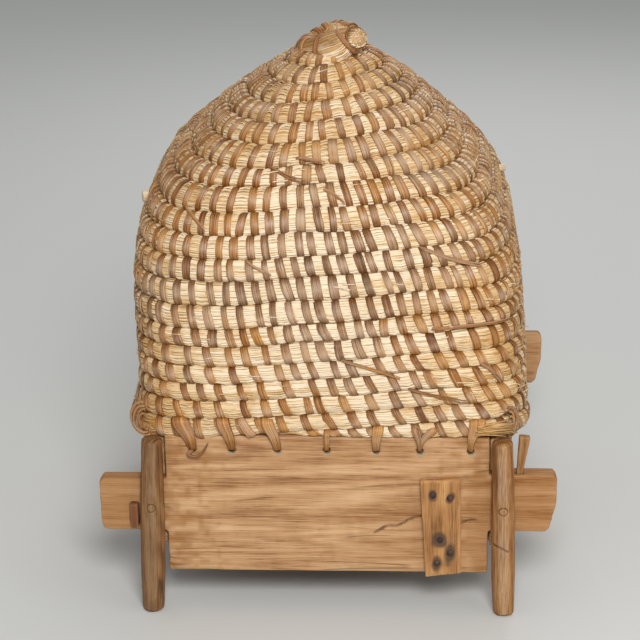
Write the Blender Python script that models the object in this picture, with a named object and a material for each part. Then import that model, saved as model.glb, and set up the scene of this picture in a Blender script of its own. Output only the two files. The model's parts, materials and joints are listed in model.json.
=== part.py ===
"""Bee skep: a straw dome on a board frame with four legs.

The dome is one straw rope, coiled from the crown down to the boards. It is a rounded square in
plan and turns round towards the top. The frame has a front and a rear board whose ears pass the
forked ends of two side boards. Each corner has a stick leg, a peg and a key.

Metres, +Z up. The origin is on the floor, under the middle of the frame. The front faces -Y.
"""

import math

import bmesh
import bpy

# Clearances
TOUCH = 0.0003
LACE_LOOSE = 0.0008
LACE_HOLE_LOOSE = 0.0011

# How far a cutter runs past the faces that it opens
CUT_PAST = 0.004
CUT_FAR_PAST = 0.020

# Frame: front and rear boards
FRAME_DEPTH = 0.410
BOARD_THICKNESS = 0.018
BOARD_BOTTOM = 0.043
BOARD_HEIGHT = 0.148
SHOULDER_SPAN = 0.322
FRONT_EAR_LENGTH = 0.067
REAR_EAR_LENGTH = 0.075
LEFT_EAR_RISE = 0.0435
LEFT_EAR_HEIGHT = 0.057
RIGHT_EAR_RISE = 0.0465
RIGHT_EAR_HEIGHT = 0.061
EAR_CORNER = 0.004
EAR_TIP_SLOPE = 0.006

# Frame: side boards
SIDE_THICKNESS = 0.022
SIDE_BOTTOM_RISE = 0.026
SIDE_END_SETBACK = 0.006
SIDE_TOP_DROP = 0.004

# Legs
LEG_OFF_SHOULDER = 0.0138
LEG_RADIUS = 0.0125
LEG_TOP_RADIUS = 0.0105
LEG_FOOT_RADIUS = 0.0110
LEG_STANDS_OUT = 0.004
LEG_SIDES = 14
LEG_SPLAY = math.radians(1.6)
LEG_TOP_DROP = 0.0005
LEG_CHAMFER = 0.0025

# Corner pegs
PEG_RADIUS = 0.004
PEG_LENGTH = 0.070
PEG_RISE = 0.075
PEG_SINK = 0.001

# Keys
WEDGE_THICKNESS = 0.009
WEDGE_TIP_WIDTH = 0.0022
WEDGE_TIP_DEPTH = 0.036
WEDGE_RISE = 0.040
WEDGE_INNER_LEAN = math.radians(2.7)
WEDGE_OUTER_LEAN = math.radians(9.8)
WEDGE_OFF_LEG = 0.0005
FLAT_KEY_WIDTH = 0.0082
FLAT_KEY_HEIGHT = 0.0255
FLAT_KEY_TAPER = 0.0035
FLAT_KEY_OFF_EAR_BOTTOM = 0.0057
FLAT_KEY_PROUD = 0.006
FLAT_KEY_TAIL = 0.014
FLAT_KEY_OFF_LEG = 0.002

# Cleat and its nails, each placed by its share across the cleat and its share up it
CLEAT_THICKNESS = 0.008
CLEAT_HEIGHT = 0.107
CLEAT_BELOW_BOARD = 0.0015
CLEAT_OFF_SHOULDER = 0.0267
CLEAT_BOTTOM_WIDTH = 0.0353
CLEAT_TOP_WIDTH = 0.0404
CLEAT_RIGHT_LEAN = 0.0015
CLEAT_BOTTOM_RISE = 0.0045
CLEAT_TOP_FALL = 0.001
NAIL_PLACES = ((0.303, 0.850), (0.725, 0.822), (0.439, 0.389), (0.702, 0.254), (0.335, 0.149))
NAIL_HEAD_RADIUS = 0.0034
NAIL_HEAD_THICKNESS = 0.0012
NAIL_SHANK_RADIUS = 0.0013
NAIL_LENGTH = 0.022
NAIL_SIDES = 8

# Outer faces of the frame, which the dome is sewn to fit
FRONT_FACE = FRAME_DEPTH / 2
SHOULDER = SHOULDER_SPAN / 2
SIDE_INNER = SHOULDER + TOUCH
SIDE_OUTER = SIDE_INNER + SIDE_THICKNESS

# Straw dome: height above the boards, half width across X, half depth across Y.
# Up to its shoulder it stands a set way past the frame's faces
OUTLINE = (
    (-0.022, SIDE_OUTER + 0.0187, FRONT_FACE + 0.0035),
    (0.000, SIDE_OUTER + 0.0182, FRONT_FACE + 0.0040),
    (0.030, SIDE_OUTER + 0.0137, FRONT_FACE + 0.0070),
    (0.080, SIDE_OUTER + 0.0127, FRONT_FACE + 0.0100),
    (0.130, SIDE_OUTER + 0.0122, FRONT_FACE + 0.0105),
    (0.170, SIDE_OUTER + 0.0082, FRONT_FACE + 0.0060),
    (0.205, SIDE_OUTER - 0.0023, FRONT_FACE - 0.0055),
    (0.240, SIDE_OUTER - 0.0238, FRONT_FACE - 0.0280),
    (0.275, 0.1250, 0.1390),
    (0.310, 0.0872, 0.0935),
    (0.337, 0.0490, 0.0490),
)
SWAY = ((-0.022, -0.001), (0.040, 0.003), (0.120, -0.001), (0.240, -0.006), (0.337, 0.002))
SQUARENESS_LOW = 7.5
SQUARENESS_HIGH = 2.1
SQUARENESS_FALL = 1.1
ROWS = 18
LOW_PITCH_SHARE = 0.76
LOW_PITCH_ROWS = 6.2
PITCH_CHANGE_ROWS = 2.6
ROPE_GROOVE = 0.0042
WALL = 0.022
SKIRT = 0.021
SKIRT_ROWS = 4.0
SKIRT_START = 0.10
SKIRT_SPREAD = 0.75
COLUMNS = 48
RAMP_FIRST_COLUMN = -15
RAMP_COLUMNS = 7
CORNER_CROWDING = 0.741
INNER_RINGS = 10
CREST_LOW = 0.24
CREST_HIGH = 0.76

# Crown knob
KNOB_RING_RADIUS = 0.0195
KNOB_ROPE_RADIUS = 0.0160
KNOB_HEIGHT = 0.030
KNOB_END_RADIUS = 0.0105
KNOB_END_REACH = 0.0370
KNOB_END_TURN = math.radians(-37.0)
KNOB_END_RISE = 0.0185

# Comb stick, whose tips show past the straw
STICK_ABOVE_BOARDS = 0.2037
STICK_TURN = math.radians(16.5)
STICK_CENTRE_X = -0.005
STICK_CENTRE_Y = -0.0105
STICK_THICK_PROUD = 0.0056
STICK_THIN_PROUD = 0.0062
STICK_THICK_RADIUS = 0.0068
STICK_THIN_RADIUS = 0.0045
STICK_SIDES = 10

# Lacing: places as a share of the way from a board's middle to its end
FRONT_LACE_SHARES = (-0.826, -0.584, -0.304, 0.0, 0.304, 0.571, 0.882)
SIDE_LACE_SHARES = (-0.663, -0.332, 0.0, 0.332, 0.663)
LACE_HOLE_DROP = 0.015
SIDE_LACE_HOLE_DROP = 0.036
LACE_THICKNESS = 0.0012
LACE_WIDTH = 0.010
LACE_NECK = 0.0056
LACE_STANDS_OFF = 0.0013

# Worked out from the sizes above
BOARD_TOP = BOARD_BOTTOM + BOARD_HEIGHT
DOME_BASE = BOARD_TOP + TOUCH
INNER_FACE = FRONT_FACE - BOARD_THICKNESS
LEFT_EAR_BOTTOM = BOARD_BOTTOM + LEFT_EAR_RISE
RIGHT_EAR_BOTTOM = BOARD_BOTTOM + RIGHT_EAR_RISE
SIDE_TOP = BOARD_TOP - SIDE_TOP_DROP
SIDE_BOTTOM = BOARD_BOTTOM + SIDE_BOTTOM_RISE
SIDE_END = FRONT_FACE - SIDE_END_SETBACK
LEG_CENTRE = SHOULDER + LEG_OFF_SHOULDER
LEG_AXIS = FRONT_FACE + LEG_STANDS_OUT
LEG_TOP = BOARD_TOP - LEG_TOP_DROP
PEG_HEIGHT = BOARD_BOTTOM + PEG_RISE
PEG_FRONT = LEG_AXIS + LEG_RADIUS - PEG_SINK
FLAT_KEY_BOTTOM = LEFT_EAR_BOTTOM + FLAT_KEY_OFF_EAR_BOTTOM
CLEAT_BOTTOM = BOARD_BOTTOM - CLEAT_BELOW_BOARD
CLEAT_TOP = CLEAT_BOTTOM + CLEAT_HEIGHT
CLEAT_RIGHT_BOTTOM = SHOULDER - CLEAT_OFF_SHOULDER
CLEAT_LEFT_BOTTOM = CLEAT_RIGHT_BOTTOM - CLEAT_BOTTOM_WIDTH
CLEAT_RIGHT_TOP = CLEAT_RIGHT_BOTTOM - CLEAT_RIGHT_LEAN
CLEAT_LEFT_TOP = CLEAT_RIGHT_TOP - CLEAT_TOP_WIDTH
STICK_HEIGHT = DOME_BASE + STICK_ABOVE_BOARDS
FRONT_LACES = tuple(share * SHOULDER for share in FRONT_LACE_SHARES)
SIDE_LACES = tuple(share * INNER_FACE for share in SIDE_LACE_SHARES)
LACE_HOLE_RADIUS = math.hypot(LACE_NECK / 2, LACE_THICKNESS / 2) + LACE_HOLE_LOOSE


def clear_scene():
    for old in list(bpy.data.objects):
        bpy.data.objects.remove(old, do_unlink=True)


def material(name, colour, roughness, metallic=0.0):
    made = bpy.data.materials.new(name)
    made.use_nodes = True
    shader = made.node_tree.nodes["Principled BSDF"]
    shader.inputs["Base Color"].default_value = (*colour, 1.0)
    shader.inputs["Roughness"].default_value = roughness
    shader.inputs["Metallic"].default_value = metallic
    return made


def solid(name, verts, faces, finish=None):
    """A closed mesh object with its faces pointing out."""
    mesh = bpy.data.meshes.new(name)
    mesh.from_pydata([tuple(v) for v in verts], [], faces)
    work = bmesh.new()
    work.from_mesh(mesh)
    bmesh.ops.recalc_face_normals(work, faces=work.faces)
    if work.calc_volume(signed=True) < 0:
        bmesh.ops.reverse_faces(work, faces=work.faces)
    work.to_mesh(mesh)
    work.free()
    made = bpy.data.objects.new(name, mesh)
    bpy.context.scene.collection.objects.link(made)
    if finish is not None:
        mesh.materials.append(finish)
    return made


def prism_parts(outline, low, high, axis):
    """Vertices and faces of an outline drawn square to an axis and carried from low to high.

    The outline is in (x, z) for axis Y, in (y, z) for axis X and in (x, y) for axis Z."""
    def place(point, along):
        if axis == "Y":
            return (point[0], along, point[1])
        if axis == "X":
            return (along, point[0], point[1])
        return (point[0], point[1], along)

    count = len(outline)
    verts = [place(p, low) for p in outline] + [place(p, high) for p in outline]
    faces = [tuple(range(count)), tuple(range(2 * count - 1, count - 1, -1))]
    faces += [(i, (i + 1) % count, (i + 1) % count + count, i + count) for i in range(count)]
    return verts, faces


def box_parts(low, high):
    outline = ((low[0], low[1]), (high[0], low[1]), (high[0], high[1]), (low[0], high[1]))
    return prism_parts(outline, low[2], high[2], "Z")


def ring_stack_parts(rings):
    """Vertices and faces of a solid skinned over rings of equal counts, closed by flat ends."""
    count = len(rings[0])
    verts = [point for ring in rings for point in ring]
    faces = [tuple(range(count - 1, -1, -1)), tuple(range(len(verts) - count, len(verts)))]
    for r in range(len(rings) - 1):
        for i in range(count):
            j = (i + 1) % count
            faces.append((r * count + i, r * count + j, (r + 1) * count + j, (r + 1) * count + i))
    return verts, faces


def rod_parts(start, end, start_radius, end_radius, sides):
    """A straight rod, which may taper."""
    along = [e - s for s, e in zip(start, end)]
    length = math.sqrt(sum(c * c for c in along))
    along = [c / length for c in along]
    helper = (0.0, 0.0, 1.0) if abs(along[2]) < 0.9 else (1.0, 0.0, 0.0)
    first = cross(along, helper)
    size = math.sqrt(sum(c * c for c in first))
    first = [c / size for c in first]
    second = cross(along, first)
    rings = []
    for centre, radius in ((start, start_radius), (end, end_radius)):
        ring = []
        for i in range(sides):
            turn = 2 * math.pi * (i + 0.5) / sides
            ring.append(tuple(centre[k] + radius * (math.cos(turn) * first[k] + math.sin(turn) * second[k])
                              for k in range(3)))
        rings.append(ring)
    return ring_stack_parts(rings)


def cross(a, b):
    return [a[1] * b[2] - a[2] * b[1], a[2] * b[0] - a[0] * b[2], a[0] * b[1] - a[1] * b[0]]


def join_parts(parts):
    verts = []
    faces = []
    for some_verts, some_faces in parts:
        start = len(verts)
        verts += some_verts
        faces += [tuple(start + i for i in face) for face in some_faces]
    return verts, faces


def cut(target, parts, name):
    """Cuts parts, none of which meet each other, out of target."""
    cutter = solid(name, *join_parts(parts))
    cutter.hide_render = True
    cutter.display_type = "WIRE"
    boolean = target.modifiers.new("cut", "BOOLEAN")
    boolean.operation = "DIFFERENCE"
    boolean.solver = "EXACT"
    boolean.object = cutter


def soften(target, width, limit=math.radians(50)):
    bevel = target.modifiers.new("worn_edges", "BEVEL")
    bevel.width = width
    bevel.segments = 1
    bevel.limit_method = "ANGLE"
    bevel.angle_limit = limit


def smooth_round(target, angle=math.radians(40)):
    target.data.shade_smooth()
    target.data.set_sharp_from_angle(angle=angle)


def curve_through(points, x, column):
    """A smooth curve through hand-set points, read at x."""
    xs = [p[0] for p in points]
    ys = [p[column] for p in points]
    x = min(max(x, xs[0]), xs[-1])
    last = len(xs) - 2
    i = next((k for k in range(last + 1) if x <= xs[k + 1]), last)

    def slope(k):
        if k == 0:
            return (ys[1] - ys[0]) / (xs[1] - xs[0])
        if k == len(xs) - 1:
            return (ys[k] - ys[k - 1]) / (xs[k] - xs[k - 1])
        return (ys[k + 1] - ys[k - 1]) / (xs[k + 1] - xs[k - 1])

    span = xs[i + 1] - xs[i]
    t = (x - xs[i]) / span
    start = ys[i] * (1 + 2 * t) * (1 - t) ** 2 + slope(i) * span * t * (1 - t) ** 2
    return start + ys[i + 1] * t * t * (3 - 2 * t) - slope(i + 1) * span * t * t * (1 - t)


def ease(t):
    t = min(max(t, 0.0), 1.0)
    return t * t * (3 - 2 * t)


# Dome shape

def squareness(height):
    share = min(max(height / OUTLINE[-1][0], 0.0), 1.0)
    return SQUARENESS_HIGH + (SQUARENESS_LOW - SQUARENESS_HIGH) * (1 - share) ** SQUARENESS_FALL


def reach(turn, height, inset=0.0):
    """Distance from the dome's middle line to its wall, in the direction of turn."""
    half_x = curve_through(OUTLINE, height, 1) - inset
    half_y = curve_through(OUTLINE, height, 2) - inset
    power = squareness(height)
    share = abs(math.cos(turn) / half_x) ** power + abs(math.sin(turn) / half_y) ** power
    return share ** (-1 / power)


def wall_point(turn, height, groove=0.0, inset=0.0):
    """A point on the wall, sunk by groove square to the slope."""
    step = 0.002
    rise = min(height + step, OUTLINE[-1][0]) - (height - step)
    run = reach(turn, min(height + step, OUTLINE[-1][0])) - reach(turn, height - step)
    length = math.hypot(rise, run)
    out = reach(turn, height, inset) - groove * rise / length
    sway = curve_through(SWAY, height, 1)
    up = height + groove * run / length
    return (sway + out * math.cos(turn), out * math.sin(turn), DOME_BASE + up)


def row_heights():
    """Height of each row line of the coil, from the boards up. Low rows are thinner than high ones."""
    steps = 400
    top = OUTLINE[-1][0]
    heights = [top * i / steps for i in range(steps + 1)]
    lengths = [0.0]
    for low, high in zip(heights, heights[1:]):
        run = (curve_through(OUTLINE, high, 1) + curve_through(OUTLINE, high, 2)
               - curve_through(OUTLINE, low, 1) - curve_through(OUTLINE, low, 2)) / 2
        lengths.append(lengths[-1] + math.hypot(high - low, run))
    fine = 10
    marks = [0.0]
    for i in range(ROWS * fine):
        row = (i + 0.5) / fine
        change = ease((row - LOW_PITCH_ROWS) / PITCH_CHANGE_ROWS)
        marks.append(marks[-1] + LOW_PITCH_SHARE + (1 - LOW_PITCH_SHARE) * change)
    scale = lengths[-1] / marks[-1]
    result = []
    for mark in marks:
        want = mark * scale
        i = next((k for k in range(steps) if lengths[k + 1] >= want), steps - 1)
        share = (want - lengths[i]) / (lengths[i + 1] - lengths[i])
        result.append(heights[i] + share * (heights[i + 1] - heights[i]))
    return result, fine


ROW_TABLE, ROW_FINE = row_heights()


def skirt(turn):
    """How far the straw hangs below the boards' top: nothing at front and rear, most at the sides."""
    across = abs(math.cos(turn)) ** 2 - abs(math.sin(turn)) ** 2
    return SKIRT * ease((across + SKIRT_START) / SKIRT_SPREAD)


def row_height(row, turn):
    """Height of the coil at a row number, counted from the boards, in the direction of turn."""
    place = min(max(row, 0.0), ROWS) * ROW_FINE
    i = min(int(place), ROWS * ROW_FINE - 1)
    height = ROW_TABLE[i] + (place - i) * (ROW_TABLE[i + 1] - ROW_TABLE[i])
    return height - skirt(turn) * (1 - ease(row / SKIRT_ROWS))


def column_turn(number):
    """Direction of a column. Columns crowd together towards the corners."""
    even = 2 * math.pi * number / COLUMNS
    across = math.copysign(abs(math.cos(even)) ** CORNER_CROWDING, math.cos(even))
    along = math.copysign(abs(math.sin(even)) ** CORNER_CROWDING, math.sin(even))
    return math.atan2(along, across)


def ramp(number):
    """Share of a row that the coil has climbed at a column, going anticlockwise across the front."""
    return ease((number - RAMP_FIRST_COLUMN) / RAMP_COLUMNS)


def ramp_at(turn):
    """The same share in any direction, read between the two nearest columns."""
    numbers = range(RAMP_FIRST_COLUMN, RAMP_FIRST_COLUMN + COLUMNS)
    for number in numbers:
        low = column_turn(number)
        gap = (column_turn(number + 1) - low) % (2 * math.pi)
        past = (turn - low) % (2 * math.pi)
        if past <= gap:
            share = past / gap
            return ramp(number) * (1 - share) + ramp(number + 1) * share
    return 1.0


def column_rows(climb):
    """Row numbers of one column, bottom to top, and how deep each line lies in its groove.

    The tapered tail fills the space under the first line, and the top row tapers out likewise."""
    marks = []
    starts = [0.0] + [climb + i for i in range(ROWS)]
    for i, start in enumerate(starts):
        end = climb if i == 0 else min(start + 1.0, float(ROWS))
        thick = end - start
        marks.append((start, 1.0))
        marks.append((start + CREST_LOW * thick, 0.0))
        marks.append((start + CREST_HIGH * thick, 0.0))
    marks.append((float(ROWS), 1.0))
    return marks


def straw_dome(finish):
    numbers = range(RAMP_FIRST_COLUMN, RAMP_FIRST_COLUMN + COLUMNS)
    turns = [column_turn(number) for number in numbers]
    verts = []
    columns = []
    for number, turn in zip(numbers, turns):
        indices = []
        last = None
        for row, groove in column_rows(ramp(number)):
            if last is None or row - last > 1e-6:
                depth = groove * ROPE_GROOVE
                if row < 1e-9:
                    depth *= 0.4
                if row > ROWS - 1e-9:
                    depth = 0.0
                verts.append(wall_point(turn, row_height(row, turn), depth))
                last = row
            indices.append(len(verts) - 1)
        columns.append(indices)

    # The first column seen again after a full turn, where the coil has climbed one row
    first = columns[0]
    wrapped = first[3:] + [first[-1]] * 3
    faces = []
    pairs = list(zip(columns, columns[1:])) + [(columns[-1], wrapped)]
    for left, right in pairs:
        for low_left, high_left, low_right, high_right in zip(left, left[1:], right, right[1:]):
            face = []
            for index in (low_left, low_right, high_right, high_left):
                if index not in face:
                    face.append(index)
            if len(face) > 2:
                faces.append(tuple(face))

    top_ring = [column[-1] for column in columns]
    outer_ring = [column[0] for column in columns]
    faces.append(tuple(top_ring))

    # Inside of the dome, smooth
    count = len(turns)
    rings = []
    for i in range(INNER_RINGS):
        share = 1 - (1 - i / (INNER_RINGS - 1)) ** 1.3
        ring = []
        for turn in turns:
            low = row_height(0.0, turn)
            ring.append(len(verts))
            verts.append(inner_point(turn, low + (OUTLINE[-1][0] - low) * share))
        rings.append(ring)
    for i in range(count):
        j = (i + 1) % count
        faces.append((outer_ring[j], outer_ring[i], rings[0][i], rings[0][j]))
    for low, high in zip(rings, rings[1:]):
        for i in range(count):
            j = (i + 1) % count
            faces.append((low[j], low[i], high[i], high[j]))
    faces.append(tuple(reversed(rings[-1])))

    dome = solid("straw_dome", verts, faces, finish)
    parts = [side_board_room(side) for side in (-1, 1)]
    parts.append(stick_parts(TOUCH, CUT_FAR_PAST))
    parts += [lace_slot(place, "front") for place in FRONT_LACES]
    parts += [lace_slot(place, "rear") for place in FRONT_LACES]
    parts += [lace_slot(place, side) for side in ("left", "right") for place in SIDE_LACES]
    cut(dome, parts, "dome_cutter")
    smooth_round(dome)
    return dome


def inner_point(turn, height):
    """A point on the inside of the wall, a wall's thickness in from the outside at a height."""
    step = 0.002
    low = max(height - step, OUTLINE[0][0])
    high = min(height + step, OUTLINE[-1][0])
    run = sum(curve_through(OUTLINE, high, k) - curve_through(OUTLINE, low, k) for k in (1, 2)) / 2
    length = math.hypot(high - low, run)
    inset = WALL * (high - low) / length
    out = reach(turn, height, inset)
    drop = -WALL * run / length * ease(height / 0.08)
    return (curve_through(SWAY, height, 1) + out * math.cos(turn), out * math.sin(turn),
            DOME_BASE + height - drop)


def side_board_room(side):
    """The room that the straw leaves for a side board."""
    low, high = sorted((side * (SIDE_INNER - CUT_FAR_PAST), side * (SIDE_OUTER + TOUCH)))
    end = FRONT_FACE + CUT_FAR_PAST
    return box_parts((low, -end, SIDE_BOTTOM), (high, end, SIDE_TOP + TOUCH))


# Frame

def ear_outline(side, length, tip_slope):
    """Outline of one ear, from its root at the bottom to its root at the top."""
    bottom = LEFT_EAR_BOTTOM if side < 0 else RIGHT_EAR_BOTTOM
    top = bottom + (LEFT_EAR_HEIGHT if side < 0 else RIGHT_EAR_HEIGHT)
    tip = SHOULDER + length
    low_tip = tip - tip_slope
    return [
        (side * SHOULDER, bottom),
        (side * (low_tip - EAR_CORNER), bottom),
        (side * low_tip, bottom + EAR_CORNER),
        (side * tip, (bottom + top) / 2),
        (side * tip, top - EAR_CORNER),
        (side * (tip - EAR_CORNER), top),
        (side * SHOULDER, top),
    ]


def cross_board(name, facing, ear_length, finish):
    """The front board faces -1 and the rear board faces +1 along Y."""
    right = ear_outline(1, ear_length, EAR_TIP_SLOPE)
    left = ear_outline(-1, ear_length, EAR_CORNER / 4)
    outline = [(-SHOULDER, BOARD_BOTTOM), (SHOULDER, BOARD_BOTTOM)] + right
    outline += [(SHOULDER, BOARD_TOP), (-SHOULDER, BOARD_TOP)] + list(reversed(left))
    low, high = sorted((facing * FRONT_FACE, facing * INNER_FACE))
    board = solid(name, *prism_parts(outline, low, high, "Y"), finish)
    parts = []
    for x in FRONT_LACES:
        z = BOARD_TOP - LACE_HOLE_DROP
        parts.append(rod_parts((x, low - CUT_PAST, z), (x, high + CUT_PAST, z), LACE_HOLE_RADIUS,
                               LACE_HOLE_RADIUS, 8))
    for side in (-1, 1):
        parts.append(peg_parts(side, facing, TOUCH, CUT_PAST))
        if facing < 0 and side < 0:
            parts.append(flat_key_parts(TOUCH, CUT_PAST))
        else:
            parts.append(wedge_parts(side, facing, TOUCH, True))
    if facing < 0:
        parts += [nail_shank_parts(place, TOUCH) for place in NAIL_PLACES]
    cut(board, parts, name + "_cutter")
    return board


def side_board(name, side, finish):
    """A side board, forked at both ends over the ears."""
    bottom = (LEFT_EAR_BOTTOM if side < 0 else RIGHT_EAR_BOTTOM) - TOUCH
    top = bottom + (LEFT_EAR_HEIGHT if side < 0 else RIGHT_EAR_HEIGHT) + 2 * TOUCH
    fork = INNER_FACE - TOUCH
    outline = [(-SIDE_END, SIDE_BOTTOM), (SIDE_END, SIDE_BOTTOM), (SIDE_END, bottom), (fork, bottom),
               (fork, top), (SIDE_END, top), (SIDE_END, SIDE_TOP), (-SIDE_END, SIDE_TOP),
               (-SIDE_END, top), (-fork, top), (-fork, bottom), (-SIDE_END, bottom)]
    low, high = sorted((side * SIDE_INNER, side * SIDE_OUTER))
    board = solid(name, *prism_parts(outline, low, high, "X"), finish)
    z = SIDE_TOP - SIDE_LACE_HOLE_DROP
    parts = [rod_parts((low - CUT_PAST, y, z), (high + CUT_PAST, y, z), LACE_HOLE_RADIUS, LACE_HOLE_RADIUS, 8)
             for y in SIDE_LACES]
    parts += [peg_parts(side, facing, TOUCH, TOUCH) for facing in (-1, 1)]
    cut(board, parts, name + "_cutter")
    return board


def leg_centre(z):
    """The leg's middle at a height: legs lean out a little towards the floor."""
    return LEG_CENTRE + (PEG_HEIGHT - z) * math.tan(LEG_SPLAY)


def leg(name, side, facing, finish):
    levels = (
        (0.0, LEG_FOOT_RADIUS - LEG_CHAMFER),
        (LEG_CHAMFER, LEG_FOOT_RADIUS),
        (BOARD_BOTTOM, LEG_RADIUS),
        (LEG_TOP * 0.55, LEG_RADIUS),
        (LEG_TOP - LEG_CHAMFER, LEG_TOP_RADIUS),
        (LEG_TOP, LEG_TOP_RADIUS - LEG_CHAMFER),
    )
    rings = []
    for z, radius in levels:
        x = side * leg_centre(z)
        rings.append([(x + radius * math.cos(2 * math.pi * (i + 0.5) / LEG_SIDES),
                       facing * LEG_AXIS + radius * math.sin(2 * math.pi * (i + 0.5) / LEG_SIDES), z)
                      for i in range(LEG_SIDES)])
    made = solid(name, *ring_stack_parts(rings), finish)
    bottom = (LEFT_EAR_BOTTOM if side < 0 else RIGHT_EAR_BOTTOM) - TOUCH
    top = bottom + (LEFT_EAR_HEIGHT if side < 0 else RIGHT_EAR_HEIGHT) + 2 * TOUCH
    wide = LEG_RADIUS + CUT_FAR_PAST
    near = SIDE_END + TOUCH
    deep = near - wide
    face = FRONT_FACE + TOUCH
    centre = side * LEG_CENTRE
    # The lap against the side board's end, with the deeper notch over the ear
    profile = [(facing * near, SIDE_BOTTOM - TOUCH), (facing * near, bottom), (facing * face, bottom),
               (facing * face, top), (facing * near, top), (facing * near, LEG_TOP + wide),
               (facing * deep, LEG_TOP + wide), (facing * deep, SIDE_BOTTOM - TOUCH)]
    lap = prism_parts(profile, centre - wide, centre + wide, "X")
    cut(made, [lap], name + "_lap_cutter")
    cut(made, [peg_parts(side, facing, TOUCH, CUT_PAST)], name + "_peg_cutter")
    smooth_round(made)
    return made


def peg_parts(side, facing, grow, extend):
    x = side * LEG_CENTRE
    return rod_parts((x, facing * (PEG_FRONT + extend), PEG_HEIGHT),
                     (x, facing * (PEG_FRONT - PEG_LENGTH - extend), PEG_HEIGHT),
                     PEG_RADIUS + grow, PEG_RADIUS + grow, 10)


def corner_peg(name, side, facing, finish):
    made = solid(name, *peg_parts(side, facing, 0.0, 0.0), finish)
    smooth_round(made)
    return made


# Keys

def wedge_outline(side, grow, through):
    """A wedge key seen from the front, in x and z: it narrows down into the ear."""
    bottom = LEFT_EAR_BOTTOM if side < 0 else RIGHT_EAR_BOTTOM
    ear_top = bottom + (LEFT_EAR_HEIGHT if side < 0 else RIGHT_EAR_HEIGHT)
    tip = ear_top - WEDGE_TIP_DEPTH
    top = ear_top + WEDGE_RISE
    inner_tip = LEG_CENTRE + LEG_RADIUS + WEDGE_OFF_LEG - WEDGE_TIP_DEPTH * math.tan(WEDGE_INNER_LEAN)
    outer_tip = inner_tip + WEDGE_TIP_WIDTH

    def inner(z):
        return inner_tip + (z - tip) * math.tan(WEDGE_INNER_LEAN) - grow

    def outer(z):
        return outer_tip + (z - tip) * math.tan(WEDGE_OUTER_LEAN) + grow

    if through:
        above = top + CUT_PAST
        below = bottom - CUT_PAST
        points = [(inner(tip), below), (outer(tip), below), (outer(tip), tip), (outer(above), above),
                  (inner(above), above), (inner(tip), tip)]
    else:
        points = [(inner(tip), tip), (outer(tip), tip), (outer(top), top - 0.001), (inner(top), top)]
    return [(side * x, z) for x, z in points]


def wedge_parts(side, facing, grow, through):
    middle = (FRONT_FACE + INNER_FACE) / 2
    half = WEDGE_THICKNESS / 2 + grow
    low, high = sorted((facing * (middle - half), facing * (middle + half)))
    return prism_parts(wedge_outline(side, grow, through), low, high, "Y")


def wedge_key(name, side, facing, finish):
    """The key's origin is on its slide axis, at the middle of its tip."""
    outline = wedge_outline(side, 0.0, False)
    middle = facing * (FRONT_FACE + INNER_FACE) / 2
    origin = ((outline[0][0] + outline[1][0]) / 2, middle, outline[0][1])
    verts, faces = wedge_parts(side, facing, 0.0, False)
    verts = [tuple(v - o for v, o in zip(vert, origin)) for vert in verts]
    made = solid(name, verts, faces, finish)
    made.location = origin
    soften(made, 0.0006, math.radians(30))
    return made


def flat_key_parts(grow, extend):
    """The front left key, which goes through the ear from the front."""
    inner = LEG_CENTRE + LEG_RADIUS + FLAT_KEY_OFF_LEG
    front = -FRONT_FACE - FLAT_KEY_PROUD
    back = -INNER_FACE + FLAT_KEY_TAIL
    slope = FLAT_KEY_TAPER / (back - front)

    def section(y):
        shrink = slope * (y - front)
        low = FLAT_KEY_BOTTOM - grow
        high = FLAT_KEY_BOTTOM + FLAT_KEY_HEIGHT - shrink + grow
        left = -(inner + FLAT_KEY_WIDTH) - grow
        right = -inner + grow
        return [(left, y, low), (right, y, low), (right, y, high), (left, y, high)]

    return ring_stack_parts([section(front - extend), section(back + extend)])


def flat_key(name, finish):
    """The key's origin is on its slide axis, in the middle of its butt."""
    origin = (-(LEG_CENTRE + LEG_RADIUS + FLAT_KEY_OFF_LEG + FLAT_KEY_WIDTH / 2), -FRONT_FACE - FLAT_KEY_PROUD,
              FLAT_KEY_BOTTOM + FLAT_KEY_HEIGHT / 2)
    verts, faces = flat_key_parts(0.0, 0.0)
    verts = [tuple(v - o for v, o in zip(vert, origin)) for vert in verts]
    made = solid(name, verts, faces, finish)
    made.location = origin
    soften(made, 0.0006, math.radians(30))
    return made


# Cleat

def cleat_outline():
    return [(CLEAT_LEFT_BOTTOM, CLEAT_BOTTOM), (CLEAT_RIGHT_BOTTOM, CLEAT_BOTTOM + CLEAT_BOTTOM_RISE),
            (CLEAT_RIGHT_TOP, CLEAT_TOP), (CLEAT_LEFT_TOP, CLEAT_TOP - CLEAT_TOP_FALL)]


def nail_place(shares):
    """A nail's x and z, from its share across the cleat and its share up it."""
    across, up = shares
    left = CLEAT_LEFT_BOTTOM + (CLEAT_LEFT_TOP - CLEAT_LEFT_BOTTOM) * up
    right = CLEAT_RIGHT_BOTTOM + (CLEAT_RIGHT_TOP - CLEAT_RIGHT_BOTTOM) * up
    return left + (right - left) * across, CLEAT_BOTTOM + CLEAT_HEIGHT * up


def repair_cleat(finish):
    back = -FRONT_FACE - TOUCH
    front = back - CLEAT_THICKNESS
    cleat = solid("repair_cleat", *prism_parts(cleat_outline(), front, back, "Y"), finish)
    cut(cleat, [nail_shank_parts(place, TOUCH) for place in NAIL_PLACES], "cleat_cutter")
    return cleat


def nail_front():
    return -FRONT_FACE - 2 * TOUCH - CLEAT_THICKNESS


def nail_shank_parts(place, grow):
    """Room for a nail's shank through the cleat and into the front board."""
    x, z = nail_place(place)
    return rod_parts((x, nail_front() - CUT_PAST, z), (x, nail_front() + NAIL_LENGTH + grow, z),
                     NAIL_SHANK_RADIUS + grow, NAIL_SHANK_RADIUS + grow, NAIL_SIDES)


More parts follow.
